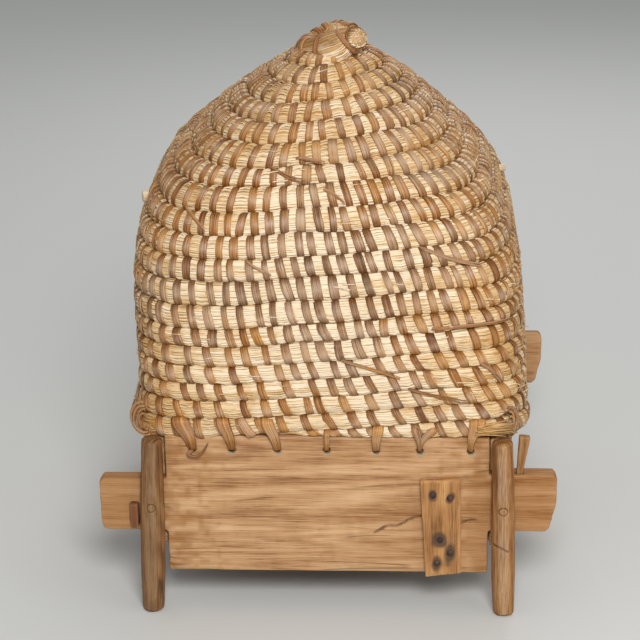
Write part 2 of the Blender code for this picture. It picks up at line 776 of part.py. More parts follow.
def cleat_nail(name, place, finish):
    x, z = nail_place(place)
    back = nail_front()
    levels = (
        (back + NAIL_LENGTH, NAIL_SHANK_RADIUS * 0.5),
        (back + NAIL_LENGTH - 0.004, NAIL_SHANK_RADIUS),
        (back, NAIL_SHANK_RADIUS),
        (back, NAIL_HEAD_RADIUS),
        (back - NAIL_HEAD_THICKNESS * 0.6, NAIL_HEAD_RADIUS * 0.92),
        (back - NAIL_HEAD_THICKNESS, NAIL_HEAD_RADIUS * 0.5),
    )
    rings = [[(x + radius * math.cos(2 * math.pi * (i + 0.5) / NAIL_SIDES), y,
               z + radius * math.sin(2 * math.pi * (i + 0.5) / NAIL_SIDES)) for i in range(NAIL_SIDES)]
             for y, radius in levels]
    made = solid(name, *ring_stack_parts(rings), finish)
    smooth_round(made)
    return made


# Crown and comb stick

def crown_knob(finish):
    """A tied ring of straw with its cut end pointing out at the front right."""
    seat = DOME_BASE + OUTLINE[-1][0] + TOUCH
    sway = SWAY[-1][1]
    ring_turns = 20
    rope_sides = 12
    centre_z = seat + KNOB_HEIGHT - KNOB_ROPE_RADIUS
    verts = []
    faces = []
    for i in range(ring_turns):
        turn = 2 * math.pi * i / ring_turns
        for j in range(rope_sides):
            round_rope = 2 * math.pi * j / rope_sides
            out = KNOB_RING_RADIUS + KNOB_ROPE_RADIUS * math.cos(round_rope)
            verts.append((sway + out * math.cos(turn), out * math.sin(turn),
                          centre_z + KNOB_ROPE_RADIUS * math.sin(round_rope)))
            i2 = (i + 1) % ring_turns
            j2 = (j + 1) % rope_sides
            faces.append((i * rope_sides + j, i2 * rope_sides + j, i2 * rope_sides + j2, i * rope_sides + j2))
    knob = solid("crown_knob", verts, faces, finish)
    end = (sway + KNOB_END_REACH * math.cos(KNOB_END_TURN), KNOB_END_REACH * math.sin(KNOB_END_TURN),
           seat + KNOB_END_RISE)
    start = (sway - 0.006, 0.004, seat + KNOB_END_RISE - 0.002)
    stub = solid("knob_end_guide", *rod_parts(start, end, KNOB_END_RADIUS, KNOB_END_RADIUS, 12))
    stub.hide_render = True
    stub.display_type = "WIRE"
    union = knob.modifiers.new("cut_end", "BOOLEAN")
    union.operation = "UNION"
    union.solver = "EXACT"
    union.object = stub
    wide = 0.1
    cut(knob, [box_parts((-wide, -wide, seat - wide), (wide, wide, seat))], "knob_seat_cutter")
    smooth_round(knob)
    return knob


def stick_run(direction):
    """How far the straw's outside lies from the stick's middle point, along the stick."""
    height = STICK_HEIGHT - DOME_BASE
    low = 0.0
    high = FRONT_FACE + SIDE_OUTER
    for _ in range(40):
        middle = (low + high) / 2
        x = STICK_CENTRE_X + direction * middle * math.cos(STICK_TURN) - curve_through(SWAY, height, 1)
        y = STICK_CENTRE_Y + direction * middle * math.sin(STICK_TURN)
        if math.hypot(x, y) < reach(math.atan2(y, x), height):
            low = middle
        else:
            high = middle
    return low


def stick_ends():
    along = (math.cos(STICK_TURN), math.sin(STICK_TURN))
    thick_reach = -stick_run(-1) - STICK_THICK_PROUD
    thin_reach = stick_run(1) + STICK_THIN_PROUD
    thick = (STICK_CENTRE_X + thick_reach * along[0], STICK_CENTRE_Y + thick_reach * along[1], STICK_HEIGHT)
    thin = (STICK_CENTRE_X + thin_reach * along[0], STICK_CENTRE_Y + thin_reach * along[1], STICK_HEIGHT)
    return thick, thin


def stick_parts(grow, extend):
    """The stick tapers, so that it draws out by its thick end."""
    thick, thin = stick_ends()
    along = (math.cos(STICK_TURN), math.sin(STICK_TURN), 0.0)
    start = tuple(c - extend * a for c, a in zip(thick, along))
    end = tuple(c + extend * a for c, a in zip(thin, along))
    widen = extend * (STICK_THICK_RADIUS - STICK_THIN_RADIUS) / math.dist(thick, thin)
    return rod_parts(start, end, STICK_THICK_RADIUS + widen + grow, STICK_THIN_RADIUS - widen + grow, STICK_SIDES)


def comb_stick(finish):
    """The stick's origin is on its slide axis, at its thick end."""
    origin, _ = stick_ends()
    verts, faces = stick_parts(0.0, 0.0)
    verts = [tuple(v - o for v, o in zip(vert, origin)) for vert in verts]
    made = solid("comb_stick", verts, faces, finish)
    made.location = origin
    smooth_round(made)
    return made


# Lacing

def wall_out(place, height, side, inset=0.0):
    """Distance out to the wall, square to a side of the frame, at a place along that side."""
    half_x = curve_through(OUTLINE, height, 1) - inset
    half_y = curve_through(OUTLINE, height, 2) - inset
    power = squareness(height)
    sway = curve_through(SWAY, height, 1)
    if side in ("front", "rear"):
        along = abs((place - sway) / half_x)
        return half_y * (1 - along ** power) ** (1 / power)
    along = abs(place / half_y)
    shift = -sway if side == "left" else sway
    return half_x * (1 - along ** power) ** (1 / power) + shift


def lace_turn(place, side):
    """Direction from the dome's middle line to a lace."""
    outward, along = lace_frame(side)
    far = FRONT_FACE if side in ("front", "rear") else SIDE_OUTER
    return math.atan2(outward[1] * far + along[1] * place, outward[0] * far + along[0] * place)


def lace_height(place, side):
    """Height above the boards of the row line that a lace goes through."""
    turn = lace_turn(place, side)
    row = ramp_at(turn)
    if row < 0.7:
        row += 1
    return row_height(row, turn)


def wall_range(place, side, inset):
    """Least and greatest distance out to the wall under a lace, over its width and height."""
    top = lace_height(place, side) + LACE_THICKNESS
    low = row_height(0.0, lace_turn(place, side))
    outs = [wall_out(place + wide * (LACE_WIDTH / 2 + LACE_STANDS_OFF), low + (top - low) * share, side, inset)
            for wide in (-1, -0.5, 0, 0.5, 1) for share in (0.0, 0.25, 0.5, 0.75, 1.0)]
    return min(outs), max(outs)


def lace_path(place, side):
    """One closed loop as (out, z, width): over the lowest row, through the board and up inside."""
    across = side in ("front", "rear")
    face = FRONT_FACE if across else SIDE_OUTER
    back = INNER_FACE if across else SIDE_INNER
    board_top = BOARD_TOP if across else SIDE_TOP
    hole = board_top - (LACE_HOLE_DROP if across else SIDE_LACE_HOLE_DROP)
    straw_bottom = DOME_BASE + row_height(0.0, lace_turn(place, side))
    top = DOME_BASE + lace_height(place, side)
    outside = wall_range(place, side, 0.0)[1] + LACE_STANDS_OFF
    inside = min(wall_range(place, side, WALL)[0] - LACE_STANDS_OFF, back) - LACE_STANDS_OFF
    at_face = face + LACE_STANDS_OFF
    return [
        (outside, top, LACE_WIDTH),
        (outside + 0.0008, top - 0.004, LACE_WIDTH),
        (outside + 0.0008, straw_bottom - LACE_STANDS_OFF, LACE_WIDTH),
        (at_face + 0.001, min(straw_bottom - 0.006, hole + 0.009), LACE_WIDTH * 0.85),
        (at_face, hole + 0.0015, LACE_NECK),
        (at_face - 0.0014, hole, LACE_NECK),
        (back - LACE_STANDS_OFF + 0.0014, hole, LACE_NECK),
        (back - LACE_STANDS_OFF, hole + 0.0015, LACE_NECK),
        (inside, board_top - 0.001, LACE_WIDTH * 0.8),
        (inside, top - 0.002, LACE_WIDTH),
        (inside + 0.001, top, LACE_WIDTH),
    ]


def lace_frame(side):
    """Outward and sideways directions of a side of the frame."""
    return {
        "front": ((0, -1), (1, 0)),
        "rear": ((0, 1), (1, 0)),
        "left": ((-1, 0), (0, 1)),
        "right": ((1, 0), (0, 1)),
    }[side]


def lace(name, place, side, finish):
    path = lace_path(place, side)
    outward, along = lace_frame(side)
    count = len(path)
    verts = []
    for i, (out, z, width) in enumerate(path):
        before = path[i - 1]
        after = path[(i + 1) % count]
        run = (after[0] - before[0], after[1] - before[1])
        length = math.hypot(*run)
        normal = (run[1] / length, -run[0] / length)
        for thick, wide in ((-1, -1), (-1, 1), (1, 1), (1, -1)):
            reach_out = out + thick * normal[0] * LACE_THICKNESS / 2
            up = z + thick * normal[1] * LACE_THICKNESS / 2
            sideways = place + wide * width / 2
            verts.append((outward[0] * reach_out + along[0] * sideways,
                          outward[1] * reach_out + along[1] * sideways, up))
    faces = []
    for i in range(count):
        n = (i + 1) % count
        for k in range(4):
            m = (k + 1) % 4
            faces.append((i * 4 + k, i * 4 + m, n * 4 + m, n * 4 + k))
    return solid(name, verts, faces, finish)


def lace_slot(place, side):
    """The slot through the straw, over the lowest row, that a lace goes through."""
    outward, along = lace_frame(side)
    half_wide = LACE_WIDTH / 2 + TOUCH
    half_thick = LACE_THICKNESS / 2 + LACE_LOOSE
    height = lace_height(place, side)
    far = wall_out(place, height, side) + CUT_FAR_PAST
    near = wall_out(place, height, side, WALL) - CUT_FAR_PAST
    corners = [(outward[0] * out + along[0] * (place + wide), outward[1] * out + along[1] * (place + wide))
               for out, wide in ((near, -half_wide), (far, -half_wide), (far, half_wide), (near, half_wide))]
    z = DOME_BASE + height
    return prism_parts(corners, z - half_thick, z + half_thick, "Z")



def build():
    clear_scene()
    straw = material("straw", (0.78, 0.60, 0.34), 0.7)
    oak = material("oak", (0.50, 0.31, 0.15), 0.65)
    stick_wood = material("leg_wood", (0.42, 0.26, 0.14), 0.6)
    key_wood = material("key_wood", (0.58, 0.36, 0.18), 0.6)
    peeled = material("peeled_wood", (0.80, 0.70, 0.52), 0.55)
    splint = material("splint", (0.40, 0.27, 0.18), 0.5)
    iron = material("iron", (0.09, 0.08, 0.08), 0.6, 0.8)

    straw_dome(straw)
    crown_knob(straw)
    comb_stick(peeled)
    cross_board("front_board", -1, FRONT_EAR_LENGTH, oak)
    cross_board("rear_board", 1, REAR_EAR_LENGTH, oak)
    side_board("left_side_board", -1, oak)
    side_board("right_side_board", 1, oak)
    for end, facing in (("front", -1), ("rear", 1)):
        for hand, side in (("left", -1), ("right", 1)):
            leg(f"{end}_{hand}_leg", side, facing, stick_wood)
            corner_peg(f"{end}_{hand}_peg", side, facing, key_wood)
            if (end, hand) == ("front", "left"):
                flat_key("front_left_key", key_wood)
            else:
                wedge_key(f"{end}_{hand}_key", side, facing, key_wood)
    repair_cleat(oak)
    for number, place in enumerate(NAIL_PLACES, 1):
        cleat_nail(f"cleat_nail_{number}", place, iron)
    for side, places in (("front", FRONT_LACES), ("rear", FRONT_LACES), ("left", SIDE_LACES), ("right", SIDE_LACES)):
        for number, place in enumerate(places, 1):
            lace(f"{side}_lace_{number}", place, side, splint)


build()
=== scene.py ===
"""Looks of a bee skep: coiled straw dome, split-wood stitches and an old oak frame.

Metres, +Z up, the front faces -Y. The dome's form follows the same outline as its solid.
"""

import itertools
import json
import math

import bpy
import numpy as np
from mathutils import Matrix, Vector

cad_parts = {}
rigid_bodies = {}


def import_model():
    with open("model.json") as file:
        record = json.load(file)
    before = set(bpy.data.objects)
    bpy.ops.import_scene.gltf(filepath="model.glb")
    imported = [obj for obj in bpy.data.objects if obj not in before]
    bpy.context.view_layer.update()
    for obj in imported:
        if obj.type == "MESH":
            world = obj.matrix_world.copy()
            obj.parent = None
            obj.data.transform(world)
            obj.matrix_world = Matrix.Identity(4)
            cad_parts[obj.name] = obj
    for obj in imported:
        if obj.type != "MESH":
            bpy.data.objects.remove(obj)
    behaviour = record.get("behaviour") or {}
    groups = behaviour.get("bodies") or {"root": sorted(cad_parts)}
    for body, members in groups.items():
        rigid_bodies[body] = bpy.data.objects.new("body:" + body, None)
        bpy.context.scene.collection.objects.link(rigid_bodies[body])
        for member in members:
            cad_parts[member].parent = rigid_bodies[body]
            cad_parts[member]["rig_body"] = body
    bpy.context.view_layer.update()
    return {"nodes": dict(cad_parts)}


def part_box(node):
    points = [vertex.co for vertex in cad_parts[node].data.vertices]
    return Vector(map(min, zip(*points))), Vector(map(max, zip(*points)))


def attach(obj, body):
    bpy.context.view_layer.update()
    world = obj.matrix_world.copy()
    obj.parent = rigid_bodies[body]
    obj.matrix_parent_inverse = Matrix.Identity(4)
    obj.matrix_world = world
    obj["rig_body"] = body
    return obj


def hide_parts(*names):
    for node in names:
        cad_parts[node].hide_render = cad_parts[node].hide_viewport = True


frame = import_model()
nodes = frame["nodes"]
rng = np.random.default_rng(31)

# Measures of the frame, read from its solids
board_low, board_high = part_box("front_board")
BOARD_TOP = float(board_high.z)
FRONT_FACE = -float(board_low.y)
BOARD_THICKNESS = float(board_high.y - board_low.y)

# The dome's outline, as in its solid: height above the boards, half width, half depth.
# The last two points carry the coil on to its start under the crown knob
OUTLINE = np.array((
    (-0.022, 0.2020, 0.2085),
    (0.000, 0.2015, 0.2090),
    (0.030, 0.1970, 0.2120),
    (0.080, 0.1960, 0.2150),
    (0.130, 0.1955, 0.2155),
    (0.170, 0.1915, 0.2110),
    (0.205, 0.1810, 0.1995),
    (0.240, 0.1595, 0.1770),
    (0.275, 0.1250, 0.1390),
    (0.310, 0.0872, 0.0935),
    (0.337, 0.0490, 0.0490),
    (0.348, 0.0270, 0.0270),
    (0.353, 0.0080, 0.0080),
))
SWAY = np.array(((-0.022, -0.001), (0.040, 0.003), (0.120, -0.001), (0.240, -0.006), (0.337, 0.002)))
DOME_BASE = BOARD_TOP + 0.0003
DOME_TOP = 0.337
OUTLINE_TOP = OUTLINE[-1, 0]
# The plan is a rounded square at the boards and round at the top
SQUARENESS_LOW = 7.5
SQUARENESS_HIGH = 2.1
SQUARENESS_FALL = 1.1
# Row numbers and their length up the wall: low rows are thinner
ROW_MARKS = np.array((
    (-1, -0.0187), (5, 0.0935), (7, 0.1360), (9, 0.1845), (10, 0.2060), (18, 0.4028), (19.9, 0.4462)))
ROWS = 19.6
# At the sides the lowest rows hang over the boards: how far, up to which row, and where round the
# dome that starts and how fast it grows
SKIRT = 0.021
SKIRT_ROWS = 4.0
SKIRT_START = 0.10
SKIRT_SPREAD = 0.75
# One turn of the coil has this many columns. Low turns climb to the next row in the ramp's columns
COLUMNS = 48
RAMP_FIRST_COLUMN = -15
RAMP_COLUMNS = 7
STEADY_CLIMB = 0.38
# Before the coil's tail starts, its lowest row hangs over the front board's edge from this column on
LIP_ROWS = 0.26
LIP_START = 29.3
CORNER_CROWDING = 0.741
# The rope: how thick it is, how high its common row is, and how square its section is
WALL = 0.022
COMMON_ROW = 0.020
ROPE_POWER = 3.0


# Small helpers

def ease(t):
    t = np.clip(t, 0.0, 1.0)
    return t * t * (3 - 2 * t)


def curve_through(points, column):
    """A smooth curve through set points, as a function of their first column."""
    xs, ys = points[:, 0], points[:, column]
    x_pads, y_pads = np.pad(xs, 1, "edge"), np.pad(ys, 1, "edge")
    slopes = (y_pads[2:] - y_pads[:-2]) / (x_pads[2:] - x_pads[:-2])

    def read(x):
        x = np.clip(x, xs[0], xs[-1])
        i = np.clip(np.searchsorted(xs, x) - 1, 0, len(xs) - 2)
        span = xs[i + 1] - xs[i]
        t = (x - xs[i]) / span
        return (ys[i] * (1 + 2 * t) * (1 - t) ** 2 + slopes[i] * span * t * (1 - t) ** 2
                + ys[i + 1] * t * t * (3 - 2 * t) - slopes[i + 1] * span * t * t * (1 - t))

    return read


def signed_power(v, power):
    return np.copysign(np.abs(v) ** power, v)


def read_table(table, x):
    return np.interp(x, table[:, 0], table[:, 1])


def sums(steps):
    """The sum before each step, and the whole."""
    return np.concatenate([[0], np.cumsum(steps)])


def path_lengths(points):
    return sums(np.linalg.norm(np.diff(points, axis=0), axis=1))


def smooth_path(points, count):
    """Points read evenly from a smooth curve through a few set ones, in as many columns as they have."""
    points = np.asarray(points, float)
    lengths = path_lengths(points[:, :3])
    table = np.column_stack([lengths, points])
    reads = np.linspace(0, lengths[-1], count)
    return np.stack([curve_through(table, c + 1)(reads) for c in range(points.shape[1])], 1)


def wave(x, seed, step):
    """Smooth noise from -1 to 1 along a line."""
    x = np.asarray(x, float) / step + seed * 17.31
    cell = np.floor(x)
    t = x - cell

    def value(c):
        return np.modf(np.abs(np.sin(c * 127.1 + seed * 311.7) * 43758.5453))[0] * 2 - 1

    return value(cell) * (1 - ease(t)) + value(cell + 1) * ease(t)


def lumps(points, size, seed):
    """Smooth noise from -1 to 1 in space. Size is one number, or one for each axis."""
    place = np.asarray(points, float) / size + seed * 7.13
    cell = np.floor(place).astype(np.int64)
    t = ease(place - cell)
    total = np.zeros(place.shape[:-1])
    for corner in itertools.product((0, 1), repeat=3):
        c = cell + corner
        mixed = (c[..., 0] * 73856093) ^ (c[..., 1] * 19349663) ^ (c[..., 2] * 83492791)
        mixed = mixed ^ (seed * 2654435)
        mixed = (mixed ^ (mixed >> 13)) * 1274126177
        value = ((mixed >> 8) & 0xFFFF) / 32767.5 - 1
        weight = np.prod(np.where(corner, t, 1 - t), axis=-1)
        total += weight * value
    return total


def unit(v):
    return v / np.maximum(np.linalg.norm(v, axis=-1, keepdims=True), 1e-12)


def box_middle(name):
    low, high = (np.array(corner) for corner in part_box(name))
    return (low + high) / 2


def new_object(name, data):
    thing = bpy.data.objects.new(name, data)
    bpy.context.scene.collection.objects.link(thing)
    return thing


def add_piece(name, mesh, finish, body, values):
    """A piece that rides on a body. Each of values is one number per vertex."""
    mesh.polygons.foreach_set("use_smooth", np.ones(len(mesh.polygons), bool))
    for key, numbers in values.items():
        layer = mesh.attributes.new(key, "FLOAT", "POINT")
        layer.data.foreach_set("value", np.asarray(numbers, np.float32).ravel())
    mesh.materials.clear()
    mesh.materials.append(finish)
    piece = new_object(name, mesh)
    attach(piece, body)
    return piece


# Numbers that the materials read at each vertex: the piece's own tint, the place along and across
# its grain, its painted shade in hollows and at ends, its painted highlight and its painted front light
VERTEX_VALUES = ("tint", "along", "grain", "deep", "crest", "pale")


class Tubes:
    """Gathers many closed tubes into one mesh. Each is a stack of rings."""

    def __init__(self):
        self.verts = []
        self.quads = []
        self.caps = {}
        self.values = {}
        self.count = 0

    def add(self, rings, closed=False, **values):
        """rings is (along, around, 3). Each value is one number, or one per ring or vertex."""
        along, around = rings.shape[:2]
        base = self.count + np.arange(along * around).reshape(along, around)
        low = base if closed else base[:-1]
        high = np.roll(base, -1, 0) if closed else base[1:]
        quads = np.stack([low, np.roll(low, -1, 1), np.roll(high, -1, 1), high], -1)
        self.quads.append(quads.reshape(-1, 4))
        if not closed:
            self.caps.setdefault(around, []).append(np.stack([base[0][::-1], base[-1]]))
        self.verts.append(rings.reshape(-1, 3))
        for key in VERTEX_VALUES:
            value = np.asarray(values.get(key, 0.0), float)
            if value.ndim == 1:
                value = value[:, None]
            self.values.setdefault(key, []).append(np.broadcast_to(value, (along, around)).reshape(-1))
        self.count += along * around

    def build(self, name, slot):
        """Makes one piece of the hive."""
        verts = np.concatenate(self.verts).astype(np.float32)
        faces = [np.concatenate(self.quads)] + [np.concatenate(caps) for caps in self.caps.values()]
        sizes = np.concatenate([np.full(len(f), f.shape[1], np.int32) for f in faces])
        loops = np.concatenate([f.ravel() for f in faces]).astype(np.int32)
        mesh = bpy.data.meshes.new(name)
        mesh.vertices.add(len(verts))
        mesh.vertices.foreach_set("co", verts.ravel())
        mesh.loops.add(len(loops))
        mesh.loops.foreach_set("vertex_index", loops)
        mesh.polygons.add(len(sizes))
        mesh.polygons.foreach_set("loop_start", sums(sizes)[:-1].astype(np.int32))
        mesh.update(calc_edges=True)
        mesh.validate()
        values = {key: np.concatenate(parts) for key, parts in self.values.items()}
        values = {key: numbers for key, numbers in values.items() if numbers.any()}
        return add_piece(name, mesh, FINISHES[slot], "hive", values)


def headings(path):
    """The way ahead at each point of a path."""
    return unit(np.gradient(path[:, :3], axis=0))


def round_rings(centre, side, out, radius, sides, flat=1.0):
    """Rings of a round or flattened tube. Radius is one number per ring."""
    turn = np.linspace(0, 2 * math.pi, sides, endpoint=False)
    radius = np.broadcast_to(radius, len(centre))[:, None, None]
    return (centre[:, None] + side[:, None] * (np.cos(turn)[None, :, None] * radius)
            + out[:, None] * (np.sin(turn)[None, :, None] * radius * flat))


# Section of a split-wood strip: share across it and share of its thickness
SPLINT_ACROSS = np.array((-1.0, -0.84, -0.52, -0.18, 0.18, 0.52, 0.84, 1.0, 0.5, -0.5))
SPLINT_RISE = np.array((0.0, 0.58, 0.90, 1.0, 1.0, 0.90, 0.58, 0.0, -0.45, -0.45))


def splint_rings(centre, along, out, half, bow):
    """Rings of a split-wood strip with ridges of fibre along it."""
    ridges = SPLINT_RISE.copy()
    ridges[1:7] += rng.uniform(-0.34, 0.12, 6)
    half = np.broadcast_to(half, len(centre))[:, None, None]
    bow = np.broadcast_to(bow, len(centre))[:, None, None]
    return (centre[:, None] + along[:, None] * (SPLINT_ACROSS[None, :, None] * half)
            + out[:, None] * (ridges[None, :, None] * bow))


def splint_values(number, steps):
    """Each strip's number gives it a grain of its own."""
    return {"grain": np.broadcast_to(SPLINT_ACROSS[None] + number * 5.3, (steps, len(SPLINT_ACROSS))),
            "along": number * 3.7 + np.linspace(0, 1, steps)}


# The dome's form

half_width = curve_through(OUTLINE, 1)
half_depth = curve_through(OUTLINE, 2)
sway = curve_through(SWAY, 1)


def column_turn(number):
    even = 2 * math.pi * number / COLUMNS
    along, across = (signed_power(v, CORNER_CROWDING) for v in (np.sin(even), np.cos(even)))
    return np.arctan2(along, across)


def row_table():
    """Row numbers and their heights, by length up the wall."""
    heights = np.linspace(OUTLINE[0, 0], OUTLINE_TOP, 500)
    run = np.diff(half_width(heights) + half_depth(heights)) / 2
    lengths = sums(np.hypot(np.diff(heights), run))
    lengths -= np.interp(0, heights, lengths)
    rows = np.linspace(-1, ROW_MARKS[-1, 0], 420)
    return rows, np.interp(read_table(ROW_MARKS, rows), lengths, heights)


ROW_NUMBERS, ROW_HEIGHTS = row_table()


def row_height(row, turn):
    """Height above the boards of a row number."""
    across = np.cos(turn) ** 2 - np.sin(turn) ** 2
    hang = SKIRT * ease((across + SKIRT_START) / SKIRT_SPREAD)
    return np.interp(row, ROW_NUMBERS, ROW_HEIGHTS) - hang * (1 - ease(row / SKIRT_ROWS))


def outline_point(turn, height):
    share = np.clip(height / DOME_TOP, 0, 1)
    power = SQUARENESS_HIGH + (SQUARENESS_LOW - SQUARENESS_HIGH) * (1 - share) ** SQUARENESS_FALL
    out = ((np.abs(np.cos(turn)) / half_width(height)) ** power
           + (np.abs(np.sin(turn)) / half_depth(height)) ** power) ** (-1 / power)
    x = sway(height) + out * np.cos(turn)
    return np.stack(np.broadcast_arrays(x, out * np.sin(turn), DOME_BASE + height), -1)


def wall(turn, height):
    """Points on the wall's outside and their outward normals."""
    step_turn = 0.01
    step = 0.003
    low = np.maximum(height - step, OUTLINE[0, 0])
    high = np.minimum(height + step, OUTLINE_TOP)
    along = outline_point(turn + step_turn, height) - outline_point(turn - step_turn, height)
    up = outline_point(turn, high) - outline_point(turn, low)
    return outline_point(turn, height), unit(np.cross(along, up))


# The coil: place is a count of columns along it, from the tip of its tail at the front

COIL_END = int(COLUMNS * ROWS)
COLUMN_SAMPLES = 6


def climb(number, column):
    """Rows climbed by a column of a turn: low turns climb at the front, high ones steadily."""
    steady = STEADY_CLIMB * ease((number - 5) / 5)
    share = (column - RAMP_FIRST_COLUMN) / COLUMNS
    return (1 - steady) * ease(share * COLUMNS / RAMP_COLUMNS) + steady * share


def seam_line(number, column):
    """Row number of a seam, which wanders a little as hand work does."""
    along = (number - 1) * COLUMNS + column - RAMP_FIRST_COLUMN
    wander = (0.05 * wave(along, 3, 4.3) + 0.05 * wave(along, 4, 13.7) + 0.035 * wave(along, 5, 1.1)
              + 0.035 * wave(along, 6, 0.45))
    level = climb(number, column) + number - 1
    lip = LIP_ROWS * ease((column - LIP_START) / 0.9) * ease((COLUMNS + RAMP_FIRST_COLUMN - column) / 0.5)
    line = np.where(number < 1, -lip, level + wander * np.clip(level / 0.6, 0, 1))
    return np.clip(line, -1.0, ROW_MARKS[-1, 0])


def coil_rows(place):
    turns = np.floor(place / COLUMNS)
    column = place - turns * COLUMNS + RAMP_FIRST_COLUMN
    return seam_line(turns, column), seam_line(turns + 1, column), column_turn(column)


def on_coil(place, across, depth):
    """Points and normals at a share across the row, from 0 at the lower seam, sunk by depth."""
    low, high, turn = coil_rows(place)
    row = low + across * (high - low)
    point, normal = wall(turn, row_height(row, turn))
    return point - normal * np.asarray(depth)[..., None], normal


def rope_section(round_rope):
    """Share across the row and depth of the rope's surface, by angle: 90 degrees is the outer crest."""
    c, s = np.cos(round_rope), np.sin(round_rope)
    size = (np.abs(c) ** ROPE_POWER + np.abs(s) ** ROPE_POWER) ** (-1 / ROPE_POWER)
    return 0.5 + 0.5 * size * c, WALL / 2 * (1 - size * s)


def section_table():
    """Angles round the rope's outside and their share of its length, at a common row's height."""
    angles = np.radians(np.linspace(3, 177, 300))
    across, depth = rope_section(angles)
    lengths = sums(np.hypot(np.diff(across) * COMMON_ROW, np.diff(depth)))
    return angles, lengths / lengths[-1]


SECTION_ANGLES, SECTION_SHARES = section_table()


def section_lean(angle):
    """How far the rope's surface leans from the wall's normal, at an angle of its section."""
    c, s = np.cos(angle), np.sin(angle)
    return np.arctan2(np.abs(s) ** (ROPE_POWER - 1), signed_power(c, ROPE_POWER - 1)) - math.pi / 2


def coil_lengths():
    """Length along the coil's crest at even places."""
    places = np.arange(0, COIL_END * COLUMN_SAMPLES + 1) / COLUMN_SAMPLES
    return places, path_lengths(on_coil(places, 0.5, 0.0)[0])


COIL_PLACES, COIL_LENGTHS = coil_lengths()
COIL_LENGTH = COIL_LENGTHS[-1]


def place_at(length):
    return np.interp(length, COIL_LENGTHS, COIL_PLACES)


def row_thickness(place):
    low, high, _ = coil_rows(place)
    return high - low


def thinned(depth, thick):
    """Depth of the rope's surface in the coil's tail, which is thick rows high."""
    return WALL / 2 + (depth - WALL / 2) * np.clip(thick / 0.5, 0.15, 1)


def front_light_mask(points):
    """Painted front light: how much paler the straw is painted, most at the middle of the front, where
    the front light falls most.
    """
    x, y, z = points[..., 0], points[..., 1], points[..., 2] - DOME_BASE
    return np.exp(-(x / 0.125) ** 2 - ((z - 0.13) / 0.17) ** 2) * np.clip(-y / 0.15, 0, 1)


# Materials

class Finish:
    """A material, with short ways to add nodes.

    A node's input is a number, a colour or another node's output.
    """

    def __init__(self, name):
        self.material = bpy.data.materials.new(name)
        self.material.use_nodes = True
        self.tree = self.material.node_tree
        self.shader = self.tree.nodes["Principled BSDF"]

    def feed(self, made, inputs):
        for key, value in inputs.items():
            if hasattr(value, "is_linked"):
                self.tree.links.new(value, made.inputs[key])
            else:
                made.inputs[key].default_value = value

    def node(self, kind, inputs, **settings):
        made = self.tree.nodes.new("ShaderNode" + kind)
        for key, value in settings.items():
            setattr(made, key, value)
        self.feed(made, inputs)
        return made

    def coords(self):
        return self.node("TexCoord", {}).outputs["Object"]

    def value(self, name):
        """What the mesh says at each vertex under this name."""
        return self.node("Attribute", {}, attribute_name=name).outputs["Fac"]

    def math(self, operation, a, b=0.0):
        return self.node("Math", {0: a, 1: b}, operation=operation).outputs[0]

    def times(self, a, b):
        return self.math("MULTIPLY", a, b)

    def total(self, start, *shares):
        """Adds each value times its share."""
        for value, share in shares:
            start = self.math("ADD", start, self.times(value, share))
        return start

    def spread(self, value, low, high, start=0.0, end=1.0):
        """Maps low to high onto start to end, held at both ends."""
        inputs = {"Value": value, "From Min": low, "From Max": high, "To Min": start, "To Max": end}
        return self.node("MapRange", inputs).outputs["Result"]

    def ramp(self, factor, stops):
        made = self.node("ValToRGB", {"Fac": factor})
        elements = made.color_ramp.elements
        while len(elements) < len(stops):
            elements.new(0.5)
        for element, (place, colour) in zip(elements, stops):
            element.position = place
            element.color = (*colour, 1.0)
        return made.outputs["Color"]

    def mix(self, factor, a, b):
        a, b = (colour if hasattr(colour, "is_linked") else (*colour, 1.0) for colour in (a, b))
        return self.node("Mix", {0: factor, 6: a, 7: b}, data_type="RGBA").outputs[2]

    def stain(self, colour, name, strength, tone):
        """Mixes a tone in where the mesh's value of this name is high."""
        return self.mix(self.times(self.value(name), strength), colour, tone)

    def vector(self, x, y, z):
        return self.node("CombineXYZ", {0: x, 1: y, 2: z}).outputs[0]

    def noise(self, vector, scale, detail=3.0, roughness=0.5, stretch=None, warp=0.0):
        if stretch is not None:
            vector = self.node("Mapping", {"Vector": vector, "Scale": stretch}).outputs["Vector"]
        inputs = {"Vector": vector, "Scale": scale, "Detail": detail, "Roughness": roughness}
        return self.node("TexNoise", {**inputs, "Distortion": warp}).outputs["Fac"]

    def close(self, colour, roughness, shine, height, strength, distance):
        """Sets the shader's colour, gloss and bump, and hands over the material."""
        bump = self.node("Bump", {"Height": height, "Strength": strength, "Distance": distance})
        self.feed(self.shader, {"Base Color": colour, "Roughness": roughness, "Specular IOR Level": shine,
                                "Normal": bump.outputs["Normal"]})
        return self.material


def straw_finish():
    made = Finish("straw")
    coords = made.coords()
    tint = made.value("tint")
    patch = made.noise(coords, 34.0, 3.0, 0.6)
    broad = made.noise(coords, 5.0, 2.0)
    grain = made.times(made.value("grain"), 0.06)
    fibres = made.vector(made.value("along"), made.times(tint, 40.0), grain)
    streak = made.noise(fibres, 26.0, 3.0)
    # The front light's share paints the straw paler at the middle of the front: painted front light
    shade = made.total(made.times(tint, 0.30), (patch, 0.62), (broad, 0.26), (streak, 0.40),
                       (made.value("pale"), 0.32))
    colour = made.ramp(shade, (
        (0.50, (0.32, 0.130, 0.025)),
        (0.66, (0.53, 0.280, 0.085)),
        (0.82, (0.68, 0.45, 0.215)),
        (0.98, (0.80, 0.61, 0.385)),
        (1.00, (0.85, 0.69, 0.49)),
    ))
    # Painted shade: straw darkened where it sinks into the seams and at its tips
    colour = made.stain(colour, "deep", 0.75, (0.27, 0.115, 0.026))
    return made.close(colour, 0.5, 0.25, streak, 0.3, 0.0005)


